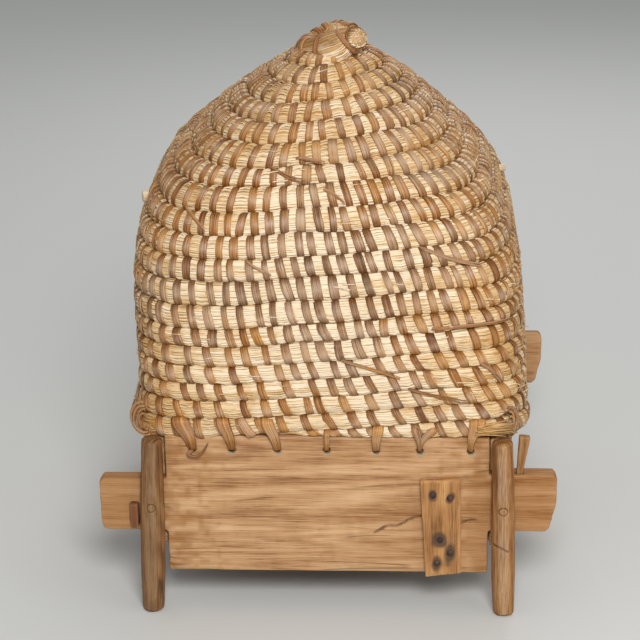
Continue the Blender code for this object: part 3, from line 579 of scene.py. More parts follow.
def splint_finish():
    made = Finish("splint")
    coords = made.coords()
    tint = made.value("tint")
    across, along = made.times(made.value("grain"), 4.0), made.times(made.value("along"), 0.7)
    fibre = made.noise(made.vector(across, made.times(tint, 60.0), along), 1.3, 5.0, 0.75)
    patch = made.noise(coords, 7.0, 2.0)
    spots = made.noise(coords, 260.0, 2.0)
    ribs = made.spread(fibre, 0.30, 0.70, 0.13, 0.79)
    shade = made.math("ADD", made.times(tint, 0.30), 0.05)
    shade = made.total(shade, (ribs, 1.0), (patch, 0.22), (spots, 0.12))
    warm = made.ramp(shade, (
        (0.60, (0.110, 0.031, 0.004)),
        (0.74, (0.250, 0.088, 0.014)),
        (0.87, (0.395, 0.158, 0.030)),
        (1.00, (0.555, 0.285, 0.085)),
    ))
    grey = made.ramp(shade, (
        (0.60, (0.105, 0.044, 0.014)),
        (0.74, (0.225, 0.112, 0.045)),
        (0.87, (0.350, 0.200, 0.102)),
        (1.00, (0.490, 0.320, 0.190)),
    ))
    # Real weathering greys strips at random; the front light's share adds painted front light, greying
    # them most at the middle of the front
    weathering_and_front_light = made.total(made.noise(coords, 11.0, 2.0), (made.value("pale"), 0.22))
    colour = made.mix(made.spread(weathering_and_front_light, 0.56, 0.74), warm, grey)
    # Painted highlight: a pale satin sheen painted across each strip's middle
    shine = made.times(made.value("crest"), made.spread(fibre, 0.35, 0.60, 0.25, 0.85))
    colour = made.mix(shine, colour, (0.58, 0.415, 0.300))
    # Painted shade: strips darkened at their ends, where hidden, and where they sink into the rope
    colour = made.stain(colour, "deep", 0.80, (0.085, 0.025, 0.004))
    return made.close(colour, 0.42, 0.28, fibre, 0.55, 0.0006)


def wood_finish(name, tones, axis, fine=1.0, roughness=0.6, cracks=0.5, dirt=(0.085, 0.038, 0.014),
                wear_and_light_share=0.35):
    """Old bare wood with its grain along an axis. The last of tones is the colour of its worn edges; on
    the legs and pegs it is the painted front light of their faces that look along Y.
    """
    made = Finish(name)
    coords = made.coords()

    def along_grain(slow, fast, *details):
        stretch = tuple(slow * fine if letter == axis else fast * fine for letter in "XYZ")
        return made.noise(coords, 1.0, *details[:2], stretch, *details[2:])

    bands = along_grain(1.3, 62.0, 6.0, 0.70, 0.3)
    rings = along_grain(1.1, 12.0, 2.0, 0.5, 0.4)
    lines = made.math("SINE", made.times(rings, 120.0))
    pores = along_grain(26.0, 900.0, 3.0, 0.7)
    stain = made.noise(coords, 11.0, 4.0, 0.65)
    shade = made.total(made.times(bands, 0.46), (lines, 0.040), (pores, 0.40), (stain, 0.30))
    colour = made.ramp(shade, tuple(zip((0.46, 0.56, 0.64, 0.74), tones)))
    colour = made.mix(made.spread(pores, 0.38, 0.28, 0.0, 0.60), colour, dirt)
    split = along_grain(1.1, 13.0, 3.0, 0.55, 0.3)
    split = made.spread(made.math("ABSOLUTE", made.math("SUBTRACT", split, 0.5)), 0.0065, 0.0015)
    split = made.times(split, made.spread(made.noise(coords, 14.0, 1.0), 0.52, 0.60))
    colour = made.mix(made.times(split, cracks), colour, (0.030, 0.015, 0.008))
    # Worn edges, and on the legs and pegs a painted front light on the faces that look along Y, mix
    # toward the last tone
    wear_and_front_light = made.times(made.value("wear_and_front_light"), made.spread(pores, 0.38, 0.58, 0.35, 1.0))
    colour = made.mix(made.times(wear_and_front_light, wear_and_light_share), colour, tones[-1])
    colour = made.stain(colour, "amber", 0.5, (0.24, 0.080, 0.002))
    colour = made.stain(colour, "ash", 0.7, (0.32, 0.250, 0.160))
    colour = made.stain(colour, "grime", 0.85, dirt)
    height = made.math("SUBTRACT", made.math("ADD", made.times(pores, 0.6), bands), split)
    return made.close(colour, roughness, 0.18, height, 0.45, 0.0009)


def iron_finish():
    made = Finish("iron")
    rust = made.noise(made.coords(), 160.0, 4.0, 0.6)
    colour = made.ramp(rust, (
        (0.35, (0.026, 0.020, 0.018)),
        (0.60, (0.085, 0.045, 0.030)),
        (0.80, (0.20, 0.09, 0.045)),
    ))
    made.feed(made.shader, {"Metallic": 0.4})
    return made.close(colour, 0.6, 0.5, rust, 0.5, 0.0004)


# Each wood's tones, from its darkest to its palest. A leg's fifth tone is its painted front light, the
# colour painted on its faces that look along Y
BOARD_TONES = ((0.25, 0.112, 0.044), (0.45, 0.245, 0.112), (0.545, 0.318, 0.160), (0.66, 0.42, 0.23))
CLEAT_TONES = ((0.18, 0.077, 0.026), (0.37, 0.172, 0.061), (0.49, 0.255, 0.096), (0.60, 0.34, 0.145))
LEFT_LEG_TONES = ((0.085, 0.030, 0.009), (0.19, 0.085, 0.030), (0.27, 0.140, 0.056), (0.36, 0.20, 0.090),
                  (0.29, 0.180, 0.100))
RIGHT_LEG_TONES = ((0.13, 0.042, 0.012), (0.27, 0.118, 0.036), (0.37, 0.180, 0.068), (0.45, 0.25, 0.11),
                   (0.49, 0.32, 0.19))
KEY_TONES = ((0.16, 0.070, 0.023), (0.29, 0.136, 0.047), (0.36, 0.185, 0.070), (0.45, 0.25, 0.11))
DARK_KEY_TONES = ((0.075, 0.022, 0.009), (0.17, 0.062, 0.024), (0.24, 0.098, 0.042), (0.34, 0.17, 0.085))
PALE_TONES = ((0.46, 0.32, 0.18), (0.66, 0.50, 0.31), (0.76, 0.62, 0.42), (0.84, 0.74, 0.56))

FINISHES = {"straw": straw_finish(), "splint": splint_finish(), "iron": iron_finish()}


# Stitches: where each split-wood strip crosses a row. Gaps and leans by row number

STITCH_GAPS = np.array((
    (0, 0.0225), (4.5, 0.0205), (6, 0.0168), (8, 0.0150), (14, 0.0150), (16, 0.0160), (19.6, 0.0125)))
STITCH_GAP_LEAST = 0.0105
STITCHES_START = 0.030
STITCH_LEANS = np.array(((0, 0.0080), (3, 0.0062), (5.5, 0.0034), (19.6, 0.0028)))
# Mean width and how much it varies
STITCH_WIDTH = (0.0078, 0.0008)
# How far along the rope a stitch draws the straw in
PINCH_REACH = 0.0050


def stitch_places():
    """Length along the coil, width and lean of each stitch."""
    found = []
    length = STITCHES_START
    while length < COIL_LENGTH - STITCHES_START:
        row = place_at(length) / COLUMNS
        gap = read_table(STITCH_GAPS, row)
        length += max(gap * (1 + 0.12 * rng.normal()), STITCH_GAP_LEAST)
        turn = column_turn(place_at(length) % COLUMNS + RAMP_FIRST_COLUMN)
        lean = read_table(STITCH_LEANS, row) * (1 - 0.7 * np.cos(turn) * np.sin(turn))
        width = np.clip(rng.normal(*STITCH_WIDTH), 0.0056, 0.0096) * (1 - 0.22 * ease((row - 15) / 4))
        found.append((length, width, lean + rng.normal(0, 0.0010)))
    return np.array(found)


STITCHES = stitch_places()


def pinch(length, across):
    """How much the straw is drawn in by the nearest stitch."""
    i = np.clip(np.searchsorted(STITCHES[:, 0], length), 1, len(STITCHES) - 1)
    gaps = [np.abs(STITCHES[k, 0] - length - STITCHES[k, 2] * (across - 0.5)) for k in (i - 1, i)]
    return np.exp(-(np.minimum(*gaps) / PINCH_REACH) ** 2)


# The rope's body: one long tube, seen only between the straws and inside the dome

ROPE_START = 0.045
ROPE_STEP = 0.0052
ROPE_SIDES = 14
# Length left free at the coil's end under the crown
COIL_REST = 0.004


def rope_body():
    lengths = np.arange(ROPE_START, COIL_LENGTH - COIL_REST, ROPE_STEP)
    places = place_at(lengths)
    around = np.linspace(0, 2 * math.pi, ROPE_SIDES, endpoint=False)
    across, depth = rope_section(around)
    # The outer half lies a little under the straws
    depth = WALL / 2 + (depth - WALL / 2) * np.where(depth < WALL / 2, 0.90, 1.0)
    sunk = thinned(depth, row_thickness(places)[:, None])
    across = np.broadcast_to(0.5 + (across - 0.5) * 0.985, sunk.shape)
    points, _ = on_coil(np.broadcast_to(places[:, None], sunk.shape), across, sunk)
    tubes = Tubes()
    tint = 0.35 + 0.2 * wave(lengths, 9, 0.011)
    # The rope is painted a little darker, as painted shade between the straws, and gets half the painted
    # front light
    tubes.add(points, tint=tint, deep=0.1, along=lengths, pale=0.5 * front_light_mask(points))
    piece = tubes.build("straw_rope", "straw")
    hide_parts("straw_dome")


# Straws: thin flat tubes laid along the rope's outside

STRAW_LANES = 30
STRAW_LAP = 0.012
STRAW_LENGTHS = (0.05, 0.24)
STRAW_RADII = (0.00070, 0.00120)
STRAW_FLATNESS = (0.34, 0.58)
STRAW_TAPER = 0.010
# How fast a straw leaves its lane, how far it waves and how unevenly it lies, as shares of the outside
STRAW_DRIFT = 0.30
STRAW_WAVE = 0.016
STRAW_SCATTER = 0.008
# How deep a stitch draws the straws in, how far they stand out between stitches at the sides, and
# how much that varies
DRAWN_IN = 0.0019
BULGE = 0.0011
BULGE_CHANGE = 0.0012


def straw_marks(start, end, lane):
    """Lengths at which a straw is bent: under each stitch, midway between stitches, and at its tips."""
    across, _ = rope_section(np.interp((lane + 0.5) / STRAW_LANES, SECTION_SHARES, SECTION_ANGLES))
    under = STITCHES[:, 0] - STITCHES[:, 2] * (across - 0.5)
    marks = np.sort(np.concatenate([under, (under[1:] + under[:-1]) / 2]))
    marks = marks[(marks > start + STRAW_TAPER + 0.003) & (marks < end - STRAW_TAPER - 0.003)]
    tip = np.array((0.0, 0.004, STRAW_TAPER))
    return np.concatenate([start + tip, marks, end - tip[::-1]])


def straws():
    tubes = Tubes()
    for lane in range(STRAW_LANES):
        length = rng.uniform(0.0, 0.12)
        while length < COIL_LENGTH - 0.02:
            end = min(length + rng.uniform(*STRAW_LENGTHS) + STRAW_LAP, COIL_LENGTH - COIL_REST)
            lengths = straw_marks(length, end, lane)
            places = place_at(lengths)
            drift = rng.normal(0, STRAW_DRIFT) * (lengths - lengths.mean())
            drift = drift + STRAW_WAVE * wave(lengths, lane + rng.integers(999), 0.05)
            share = (lane + 0.5) / STRAW_LANES + drift + rng.normal(0, STRAW_SCATTER)
            round_rope = np.interp(share, SECTION_SHARES, SECTION_ANGLES)
            across, depth = rope_section(round_rope)
            drawn = pinch(lengths, across)
            across = 0.5 + (across - 0.5) * (1.05 - 0.06 * drawn)
            depth = thinned(depth, row_thickness(places))
            depth = depth + 0.0004 - rng.uniform(-0.0004, 0.0004) + DRAWN_IN * drawn
            from_tip = np.minimum(lengths - length, end - lengths)
            depth = depth + 0.0014 * (1 - ease(from_tip / STRAW_TAPER))
            centre, normal = on_coil(places, across, depth)
            bulge = (1 - drawn) * (1 - front_light_mask(centre)) * (BULGE + BULGE_CHANGE * wave(lengths, 77, 0.015))
            centre = centre + normal * bulge[:, None]
            radius = rng.uniform(*STRAW_RADII) * (0.55 + 0.45 * ease(from_tip / 0.006))
            tangent = headings(centre)
            side = unit(np.cross(normal, tangent))
            lean = section_lean(round_rope)
            out = normal * np.cos(lean)[:, None] - side * np.sin(lean)[:, None]
            side = unit(np.cross(out, tangent))
            rings = round_rings(centre, side, out, radius, 5, rng.uniform(*STRAW_FLATNESS))
            # Painted shade where a straw sinks into a seam or tapers to its tip, and painted front light
            # at the front
            tubes.add(rings, tint=rng.beta(2.4, 1.9), deep=np.clip((depth - 0.0045) / 0.008, 0, 1),
                      along=lengths, pale=front_light_mask(centre),
                      grain=np.broadcast_to(np.arange(5.0)[None], (len(lengths), 5)))
            length = end - STRAW_LAP + rng.uniform(0.0, 0.006)
    tubes.build("straws", "straw")


# Frays: short broken straws that stand a little off the rope

FRAYS = 280
FRAY_LENGTHS = (0.007, 0.020)
FRAY_RADII = (0.0004, 0.0008)


def frays():
    tubes = Tubes()
    for _ in range(FRAYS):
        length = rng.uniform(0.1, COIL_LENGTH - 0.1)
        across = rng.uniform(0.15, 0.85)
        _, depth = rope_section(np.arccos(np.clip(2 * across - 1, -0.95, 0.95)))
        run = rng.uniform(*FRAY_LENGTHS) * rng.choice((-1, 1))
        start, normal = on_coil(place_at(length), across, depth + 0.0005)
        ahead, _ = on_coil(place_at(length + 0.004), across, depth)
        way = unit(ahead - start) * run + normal * rng.uniform(0.0012, 0.0042)
        sag = np.array((0, 0, -rng.uniform(-0.002, 0.004)))
        t = np.linspace(0, 1, 5)[:, None]
        centre = start + way * t + sag * t * t
        tangent = headings(centre)
        side = unit(np.cross(normal, tangent))
        out = np.cross(tangent, side)
        radius = rng.uniform(*FRAY_RADII) * (1 - 0.4 * t[:, 0])
        # Frays get the painted front light
        tubes.add(round_rings(centre, side, out, radius, 5, 0.6), tint=rng.beta(2.6, 1.5),
                  along=t[:, 0] * 0.02 + length, pale=front_light_mask(centre))
    tubes.build("frays", "straw")


# Stitch strips

STITCH_STEPS = 12
# The coil's tail is stitched from where its row has this share of a common row's height
STITCHED_FROM = 0.30
# Where a stitch enters and leaves the rope, in degrees round its section
STITCH_ENDS = (-24, 200)
STITCH_BOW = (0.0009, 0.0014)


def stitches():
    tubes = Tubes()
    for number, (length, width, lean) in enumerate(STITCHES):
        thick = float(row_thickness(place_at(length)))
        if thick < STITCHED_FROM:
            continue
        first, last = STITCH_ENDS
        angles = np.radians(np.linspace(first + rng.normal(0, 3), last + rng.normal(0, 4), STITCH_STEPS))
        across, depth = rope_section(angles)
        depth = thinned(depth, thick) + 0.0001 + np.where(angles > 3.0, 0.001, 0.0)
        bend = rng.normal(0, 0.0007)
        lengths = length - lean * (across - 0.5) * 1.2 + bend * np.sin(angles)
        centre, normal = on_coil(place_at(lengths), across, depth)
        path = headings(centre)
        ahead, _ = on_coil(place_at(lengths + 0.002), across, depth)
        along = unit(ahead - centre)
        along = unit(along - path * np.sum(along * path, -1, keepdims=True))
        out = unit(np.cross(path, along))
        out = np.where(np.sum(out * normal, -1, keepdims=True) * np.sin(angles)[:, None] < 0, -out, out)
        half = width / 2 * (1 + 0.05 * np.cos(angles) * rng.uniform(-1, 1))
        half = half * (1 + 0.05 * wave(angles, number, 0.5))
        rings = splint_rings(centre, along, out, half, rng.uniform(*STITCH_BOW))
        # Painted shade at both ends of each stitch and where it sinks in, a painted highlight across its
        # middle, and the painted front light
        low_end = 1 - ease(across / rng.uniform(0.2, 0.42))
        high_end = 1 - ease((1 - across) / rng.uniform(0.30, 0.55))
        deep = np.maximum(rng.uniform(0.30, 0.65) * low_end + rng.uniform(0.45, 0.85) * high_end,
                          np.clip((depth - 0.0040) / 0.005, 0, 1))
        crest = np.exp(-((across - rng.normal(0.46, 0.06)) / rng.uniform(0.14, 0.24)) ** 2)
        crest = crest * rng.beta(1.7, 1.2)
        tubes.add(rings, tint=np.clip(rng.normal(0.5, 0.24), 0, 1), deep=deep, crest=crest,
                  pale=front_light_mask(centre), **splint_values(number, STITCH_STEPS))
    tubes.build("stitches", "splint")


# Ribbons: split-wood strips along a path of centres and half widths

def ribbon(tubes, number, path, *, tint, crest, deep=0.0, across=None, out=None, closed=False,
           bow=0.0011, count=None):
    """Across is the way that the strip is wide, or else out is the way that its face looks."""
    count = count or 5 * len(path)
    path = np.array(path, float)
    if closed:
        path = smooth_path(np.vstack([path, path[:1]]), count + 1)[:-1]
        tangent = unit(np.roll(path[:, :3], -1, 0) - np.roll(path[:, :3], 1, 0))
    else:
        path = smooth_path(path, count)
        tangent = headings(path)
    if across is None:
        across = np.cross(np.broadcast_to(out, tangent.shape), tangent)
    across = np.broadcast_to(across, tangent.shape)
    side = unit(across - tangent * np.sum(across * tangent, -1, keepdims=True))
    rings = splint_rings(path[:, :3], side, np.cross(tangent, side), path[:, 3], bow)
    tubes.add(rings, closed=closed, tint=tint, deep=deep, crest=crest, **splint_values(number, count))


# Laces: straps that tie the lowest row to the boards through their holes

HOLE_DROP = 0.0150
SIDE_HOLE_DROP = 0.0360
STRAP_STEPS = 48
# How far round the dome a side reaches both ways from its middle, in radians
SIDE_REACH = 0.85
# For each front strap: its hole, how far its top is to the side of it, the row it comes out of,
# its half widths at the top and in the hole, and its tint. Two holes hold two straps each
FRONT_STRAPS = (
    (1, -0.0120, 1.00, 0.0088, 0.0042, 0.45),
    (2, -0.0085, 1.00, 0.0066, 0.0038, 0.60),
    (3, -0.0105, 1.00, 0.0064, 0.0040, 0.60),
    (4, 0.0000, 0.34, 0.0031, 0.0024, 0.50),
    (5, 0.0010, 0.62, 0.0056, 0.0036, 0.85),
    (6, -0.0060, 0.62, 0.0042, 0.0022, 0.50),
    (6, 0.0125, 0.62, 0.0040, 0.0020, 0.60),
    (7, 0.0005, 1.00, 0.0044, 0.0024, 0.85),
    (7, 0.0090, 1.00, 0.0040, 0.0021, 1.00),
)
# The curl: places beside, in front of and above its hole, and half widths
CURL = (
    (0.0000, 0.0005, 0.0000, 0.0022),
    (-0.0040, 0.0032, -0.0045, 0.0022),
    (0.0030, 0.0045, -0.0062, 0.0018),
    (0.0090, 0.0050, -0.0020, 0.0015),
    (0.0135, 0.0060, 0.0045, 0.0011),
    (0.0165, 0.0075, 0.0105, 0.0006),
)
# The strip that binds the coil's tip: places along the front, rows, depths and half widths
BINDING = (
    (-0.0850, 1.02, 0.0070, 0.0035),
    (-0.0835, 0.92, -0.0002, 0.0042),
    (-0.0790, 0.55, -0.0019, 0.0046),
    (-0.0735, 0.15, -0.0008, 0.0042),
    (-0.0720, -0.02, 0.0060, 0.0032),
)


class Side:
    """One side of the skep. Aside runs along it to the right, seen from outside."""

    def __init__(self, angle, face, inner, hole_height):
        self.away = np.array((round(math.cos(angle)), round(math.sin(angle)), 0.0))
        self.aside = np.array((-self.away[1], self.away[0], 0.0))
        self.face = face
        self.inner = inner
        self.hole_height = hole_height
        self.turns = angle + np.linspace(-SIDE_REACH, SIDE_REACH, 500)
        self.laterals = outline_point(self.turns, 0.0) @ self.aside

    def flat(self, out, lateral, height):
        return self.away * out + self.aside * lateral + np.array((0, 0, height))

    def over(self, lateral, row, depth):
        """A point over or in the lowest rows of the dome."""
        turn = np.interp(lateral, self.laterals, self.turns)
        point, normal = wall(turn, row_height(row, turn))
        return point - normal * depth

    def strap(self, tubes, number, hole, lean, row, top_half, hole_half, tint=0.4):
        top = hole + lean

        def between(share):
            return top + (hole - top) * share

        def half(share):
            return top_half + (hole_half - top_half) * share

        height = self.hole_height
        path = (
            (*self.over(top, row + 0.06, 0.0090), half(0.3)),
            (*self.over(top, row, 0.0022), half(0.1)),
            (*self.over(between(0.10), row * 0.84, -0.0012), half(0.0)),
            (*self.over(between(0.35), row * 0.52, -0.0019), half(0.1)),
            (*self.over(between(0.62), row * 0.20, -0.0010), half(0.35)),
            (*self.flat(self.face + 0.0026, between(0.92), height + 0.0080), half(0.75)),
            (*self.flat(self.face + 0.0014, hole, height + 0.0015), half(1.0)),
            (*self.flat(self.face - 0.0060, hole, height), half(1.1)),
            (*self.flat(self.inner - 0.0018, hole, height + 0.0020), half(1.0)),
            (*self.flat(self.inner - 0.0024, hole, height + 0.0110), half(0.9)),
            (*self.over(hole, row * 0.60, WALL + 0.0012), half(0.8)),
            (*self.over(hole, row + 0.06, WALL * 0.7), half(0.6)),
        )
        shares = np.linspace(0, 1, STRAP_STEPS, endpoint=False)
        # Painted shade where the strap is hidden in the rope or the board, at its top and down its lower
        # part; a painted highlight on its upper part
        hidden = ease((0.06 - shares) / 0.04) + ease((shares - 0.50) / 0.04)
        deep = hidden + 0.60 * ease((shares - 0.23) / 0.13) + 0.3 * (1 - ease(shares / 0.10))
        ribbon(tubes, number, path, across=self.aside, closed=True, bow=0.0013, count=STRAP_STEPS,
               tint=tint + rng.uniform(-0.1, 0.1), deep=np.clip(deep, 0, 0.9),
               crest=rng.uniform(0.2, 0.6) * np.exp(-((shares - 0.20) / 0.08) ** 2))


def laces():
    tubes = Tubes()
    side_low, side_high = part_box("right_side_board")
    front = Side(-math.pi / 2, FRONT_FACE, FRONT_FACE - BOARD_THICKNESS, BOARD_TOP - HOLE_DROP)
    for number, (hole, *form) in enumerate(FRONT_STRAPS):
        front.strap(tubes, 900 + number, box_middle(f"front_lace_{hole}")[0], *form)
    rear = Side(math.pi / 2, FRONT_FACE, FRONT_FACE - BOARD_THICKNESS, BOARD_TOP - HOLE_DROP)
    right = Side(0.0, side_high.x, side_low.x, side_high.z - SIDE_HOLE_DROP)
    left = Side(math.pi, side_high.x, side_low.x, side_high.z - SIDE_HOLE_DROP)
    for name, side in (("rear", rear), ("right", right), ("left", left)):
        names = [node for node in nodes if node.startswith(name + "_lace_")]
        for number, node in enumerate(names):
            hole = float(box_middle(node) @ side.aside)
            side.strap(tubes, 920 + number, hole, rng.normal(0, 0.007), 1.0,
                       rng.uniform(0.0055, 0.0075), rng.uniform(0.0032, 0.0042))

    # The first strap's tip comes back out of its hole in a curl, and one strip binds the coil's tip
    hole = box_middle("front_lace_1")[0]
    curl = [(*front.flat(FRONT_FACE + out, hole + aside, front.hole_height + up), half)
            for aside, out, up, half in CURL]
    # The curl is painted darker as painted shade; the curl and the binding carry a painted highlight
    ribbon(tubes, 950, curl, out=front.away, bow=0.0009, tint=0.25, deep=0.35, crest=0.2)
    binding = [(*front.over(*place), half) for *place, half in BINDING]
    ribbon(tubes, 951, binding, out=front.away, tint=0.6, crest=0.6)
    piece = tubes.build("laces", "splint")
    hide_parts(*(node for node in nodes if "_lace_" in node))


# Crown: the coil starts from a bent rope whose end is cut off square

# Centres and radii along the bent rope and the plug that it closes round
KNOB_PATH = (
    (0.0285, -0.0385, 0.5530, 0.0092),
    (0.0225, -0.0290, 0.5500, 0.0120),
    (0.0035, -0.0245, 0.5415, 0.0168),
    (-0.0155, -0.0160, 0.5370, 0.0112),
    (-0.0250, -0.0010, 0.5340, 0.0110),
    (-0.0165, 0.0160, 0.5380, 0.0108),
    (0.0020, 0.0215, 0.5450, 0.0120),
    (0.0170, 0.0120, 0.5455, 0.0115),
    (0.0215, -0.0020, 0.5400, 0.0100),
    (0.0180, -0.0140, 0.5320, 0.0085),
)
PLUG_PATH = (
    (0.0040, 0.0030, 0.5340, 0.0140),
    (0.0050, 0.0030, 0.5460, 0.0130),
    (0.0070, 0.0030, 0.5560, 0.0085),
)
# Of each wrap: its share along the rope, slant, the slant's angle and half width
KNOB_WRAPS = (
    (0.045, 0.0030, 0.6, 0.0026),
    (0.120, 0.0055, 0.6, 0.0024),
    (0.285, 0.0025, 3.7, 0.0030),
    (0.390, 0.0015, 0.4, 0.0038),
    (0.450, 0.0010, 1.4, 0.0034),
    (0.520, 0.0020, 2.4, 0.0036),
    (0.600, 0.0015, 0.9, 0.0035),
    (0.670, 0.0020, 1.9, 0.0036),
    (0.740, 0.0012, 2.9, 0.0034),
    (0.800, 0.0020, 0.2, 0.0036),
)
KNOB_STRAWS = 78
PLUG_STRAWS = 30
CUT_ENDS = 90


def rope_frame(path, count):
    path = smooth_path(path, count)
    tangent = headings(path)
    side = unit(np.cross(tangent, (0.02, 0.01, 1.0)))
    return path[:, :3], path[:, 3], tangent, side, np.cross(side, tangent)


def bundle(tubes, path, lanes, count, pale):
    """A short rope of straws, its first end cut off so that the straws' ends show."""
    centre, radius, tangent, side, out = rope_frame(path, count)
    shares = np.linspace(0, 1, count)
    # The core is painted darker, as painted shade between the straws
    tubes.add(round_rings(centre, side, out, radius * 0.95, 16), tint=0.4, deep=0.4, along=shares * 0.1)
    for lane in range(lanes):
        turn = 2 * math.pi * lane / lanes + 0.5 * wave(shares, lane + 300, 0.5) + 1.1 * shares
        radial = side * np.cos(turn)[:, None] + out * np.sin(turn)[:, None]
        first = 0 if rng.random() < 0.7 else rng.integers(0, count // 3)
        last = count if rng.random() < 0.7 else rng.integers(2 * count // 3, count)
        part = slice(first, last)
        middle = (centre + radial * (radius - rng.uniform(0.0000, 0.0007))[:, None])[part]
        middle[0] -= tangent[first] * rng.uniform(0, 0.0015)
        across, out_there = np.cross(tangent, radial)[part], radial[part]
        up = out_there[:, 2]
        # Straws that face up get painted shade, and those that face down and out get the painted front
        # light
        tubes.add(round_rings(middle, across, out_there, rng.uniform(0.0006, 0.0010), 6, 0.6),
                  tint=rng.beta(2.0, 1.9), along=shares[part] * 0.1, pale=pale * (1 - ease(up + 0.5)),
                  deep=rng.uniform(0.5, 1.2) * ease((up + 0.3) / 0.8))
    for _ in range(CUT_ENDS):
        spot, turn = math.sqrt(rng.random()) * 0.92, rng.uniform(0, 2 * math.pi)
        radial = (side[0] * math.cos(turn) + out[0] * math.sin(turn)) * spot * radius[0]
        start = centre[0] + radial - tangent[0] * rng.uniform(0.0002, 0.0016)
        middle = start + tangent[0] * np.linspace(0, 0.004, 3)[:, None]
        # Cut ends get half the painted front light and painted shade of random strength
        tubes.add(round_rings(middle, side[:3], out[:3], rng.uniform(0.0005, 0.0009), 6),
                  tint=rng.beta(2, 1.5), pale=pale * 0.5, deep=rng.uniform(0, 0.9))


def crown():
    tubes = Tubes()
    bundle(tubes, KNOB_PATH, KNOB_STRAWS, 64, 0.6)
    bundle(tubes, PLUG_PATH[::-1], PLUG_STRAWS, 8, 0.3)
    piece = tubes.build("crown_rope", "straw")
    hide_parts("crown_knob")
    wraps = Tubes()
    centre, radius, tangent, side, out = rope_frame(KNOB_PATH, 100)
    turns = np.linspace(0, 2 * math.pi, 14, endpoint=False)[:, None]
    for number, (share, slant, phase, half) in enumerate(KNOB_WRAPS):
        i = round(share * 99)
        loop = (centre[i] + (side[i] * np.cos(turns) + out[i] * np.sin(turns)) * (radius[i] + 0.0010)
                + tangent[i] * slant * np.sin(turns + phase))
        path = np.hstack([loop, np.full((14, 1), half)])
        # Each wrap gets a painted highlight of random strength
        ribbon(wraps, 960 + number, path, across=tangent[i], closed=True, count=28,
               tint=rng.uniform(0.05, 0.45), crest=rng.uniform(0, 0.3))
    wraps.build("crown_wraps", "splint")


# Loose strips: ends of split wood that lie over the rows. Turn in degrees and height above the
# boards, at each end

LOOSE_STRIPS = (
    (-108.7, 0.262, -94.9, 0.249),
    (-99.9, 0.268, -88.6, 0.263),
    (-89.2, 0.244, -82.3, 0.233),
    (-128.4, 0.225, -119.8, 0.207),
    (-108.9, 0.183, -102.6, 0.170),
    (-64.5, 0.195, -51.3, 0.174),
    (-65.8, 0.117, -45.2, 0.117),
    (-70.8, 0.056, -56.8, 0.040),
    (-86.5, 0.085, -71.9, 0.067),
    (-54.5, 0.081, -50.2, 0.059),
    (60.0, 0.150, 72.0, 0.132),
    (110.0, 0.240, 122.0, 0.226),
    (20.0, 0.100, 33.0, 0.090),
    (165.0, 0.180, 176.0, 0.160),
    (-10.0, 0.210, 0.0, 0.195),
)
STRIP_STEPS = 36


def loose_strips():
    tubes = Tubes()
    for number, (turn, height, end_turn, end_height) in enumerate(LOOSE_STRIPS):
        t = np.linspace(0, 1, 9)
        turns = np.radians(turn + (end_turn - turn) * t)
        heights = height + (end_height - height) * t + 0.0030 * np.sin(math.pi * t) * rng.uniform(-1, 1)
        point, normal = wall(turns, heights)
        lift = 0.0014 * np.sin(math.pi * t) ** 0.5 - 0.0030 * (1 - ease(t / 0.12))
        lift = lift + 0.0016 * ease((t - 0.75) / 0.25)
        for strand in (-1, 1):
            half = rng.uniform(0.0008, 0.0014) * (1 - 0.5 * ease((t - 0.6) / 0.4))
            half = half * (1 + 0.25 * wave(t, number + strand, 0.2))
            apart = strand * np.array((0, 0, 0.0014)) * (0.3 + 1.2 * t * rng.random())[:, None]
            path = np.hstack([point + normal * lift[:, None] + apart, half[:, None]])
            # Each strip gets a painted highlight of random strength
            ribbon(tubes, 980 + 2 * number + strand, path, out=smooth_path(normal, STRIP_STEPS),
                   count=STRIP_STEPS, bow=0.0008, tint=rng.uniform(0.15, 0.75), crest=rng.uniform(0, 0.5))
    tubes.build("loose_strips", "splint")


# Corners: loops of split wood and worn straw ends where the lowest row turns the front corners

# How the worn straws run at the right corner, and how far they spread at each end
TUFT = ((0.150, -0.2085, 0.2000), (0.181, -0.2040, 0.2030))
TUFT_SPREADS = (0.0024, 0.0026)
TUFT_STRAWS = 90
# Middle of each corner's loops, in front view from the skep's own middle line
LOOP_X, LOOP_Y, LOOP_Z = 0.1800, -0.1985, 0.2065
# Half width and half height of the largest loop, and each loop's size beside it. The right ones
# stay clear of the key that is lifted past them
CORNER_LOOPS = {-1: (0.0140, 0.0180, (1.0, 0.80, 0.60, 0.42)), 1: (0.0080, 0.0155, (1.0, 0.72, 0.45))}


def corner_straws():
    tubes = Tubes()
    start, end = np.array(TUFT)
    for _ in range(TUFT_STRAWS):
        t = np.linspace(0, rng.uniform(0.75, 1.05), 6)[:, None]
        first = start + rng.normal(0, 1, 3) * TUFT_SPREADS[0]
        way = end - start + rng.normal(0, 1, 3) * TUFT_SPREADS[1]
        middle = first + way * t - np.array((0, 0, 0.002)) * t * t
        tangent = headings(middle)
        side = unit(np.cross(tangent, (0, 0, 1)))
        radius = rng.uniform(0.0006, 0.0010) * (1 - 0.3 * t[:, 0])
        # The straws get painted shade towards their far ends, in the corner
        tubes.add(round_rings(middle, side, np.cross(side, tangent), radius, 5, 0.7),
                  tint=rng.beta(1.6, 2.2), along=t[:, 0] * 0.02, deep=0.9 * ease((t - 0.45) / 0.5))
    tubes.build("corner_straws", "straw")


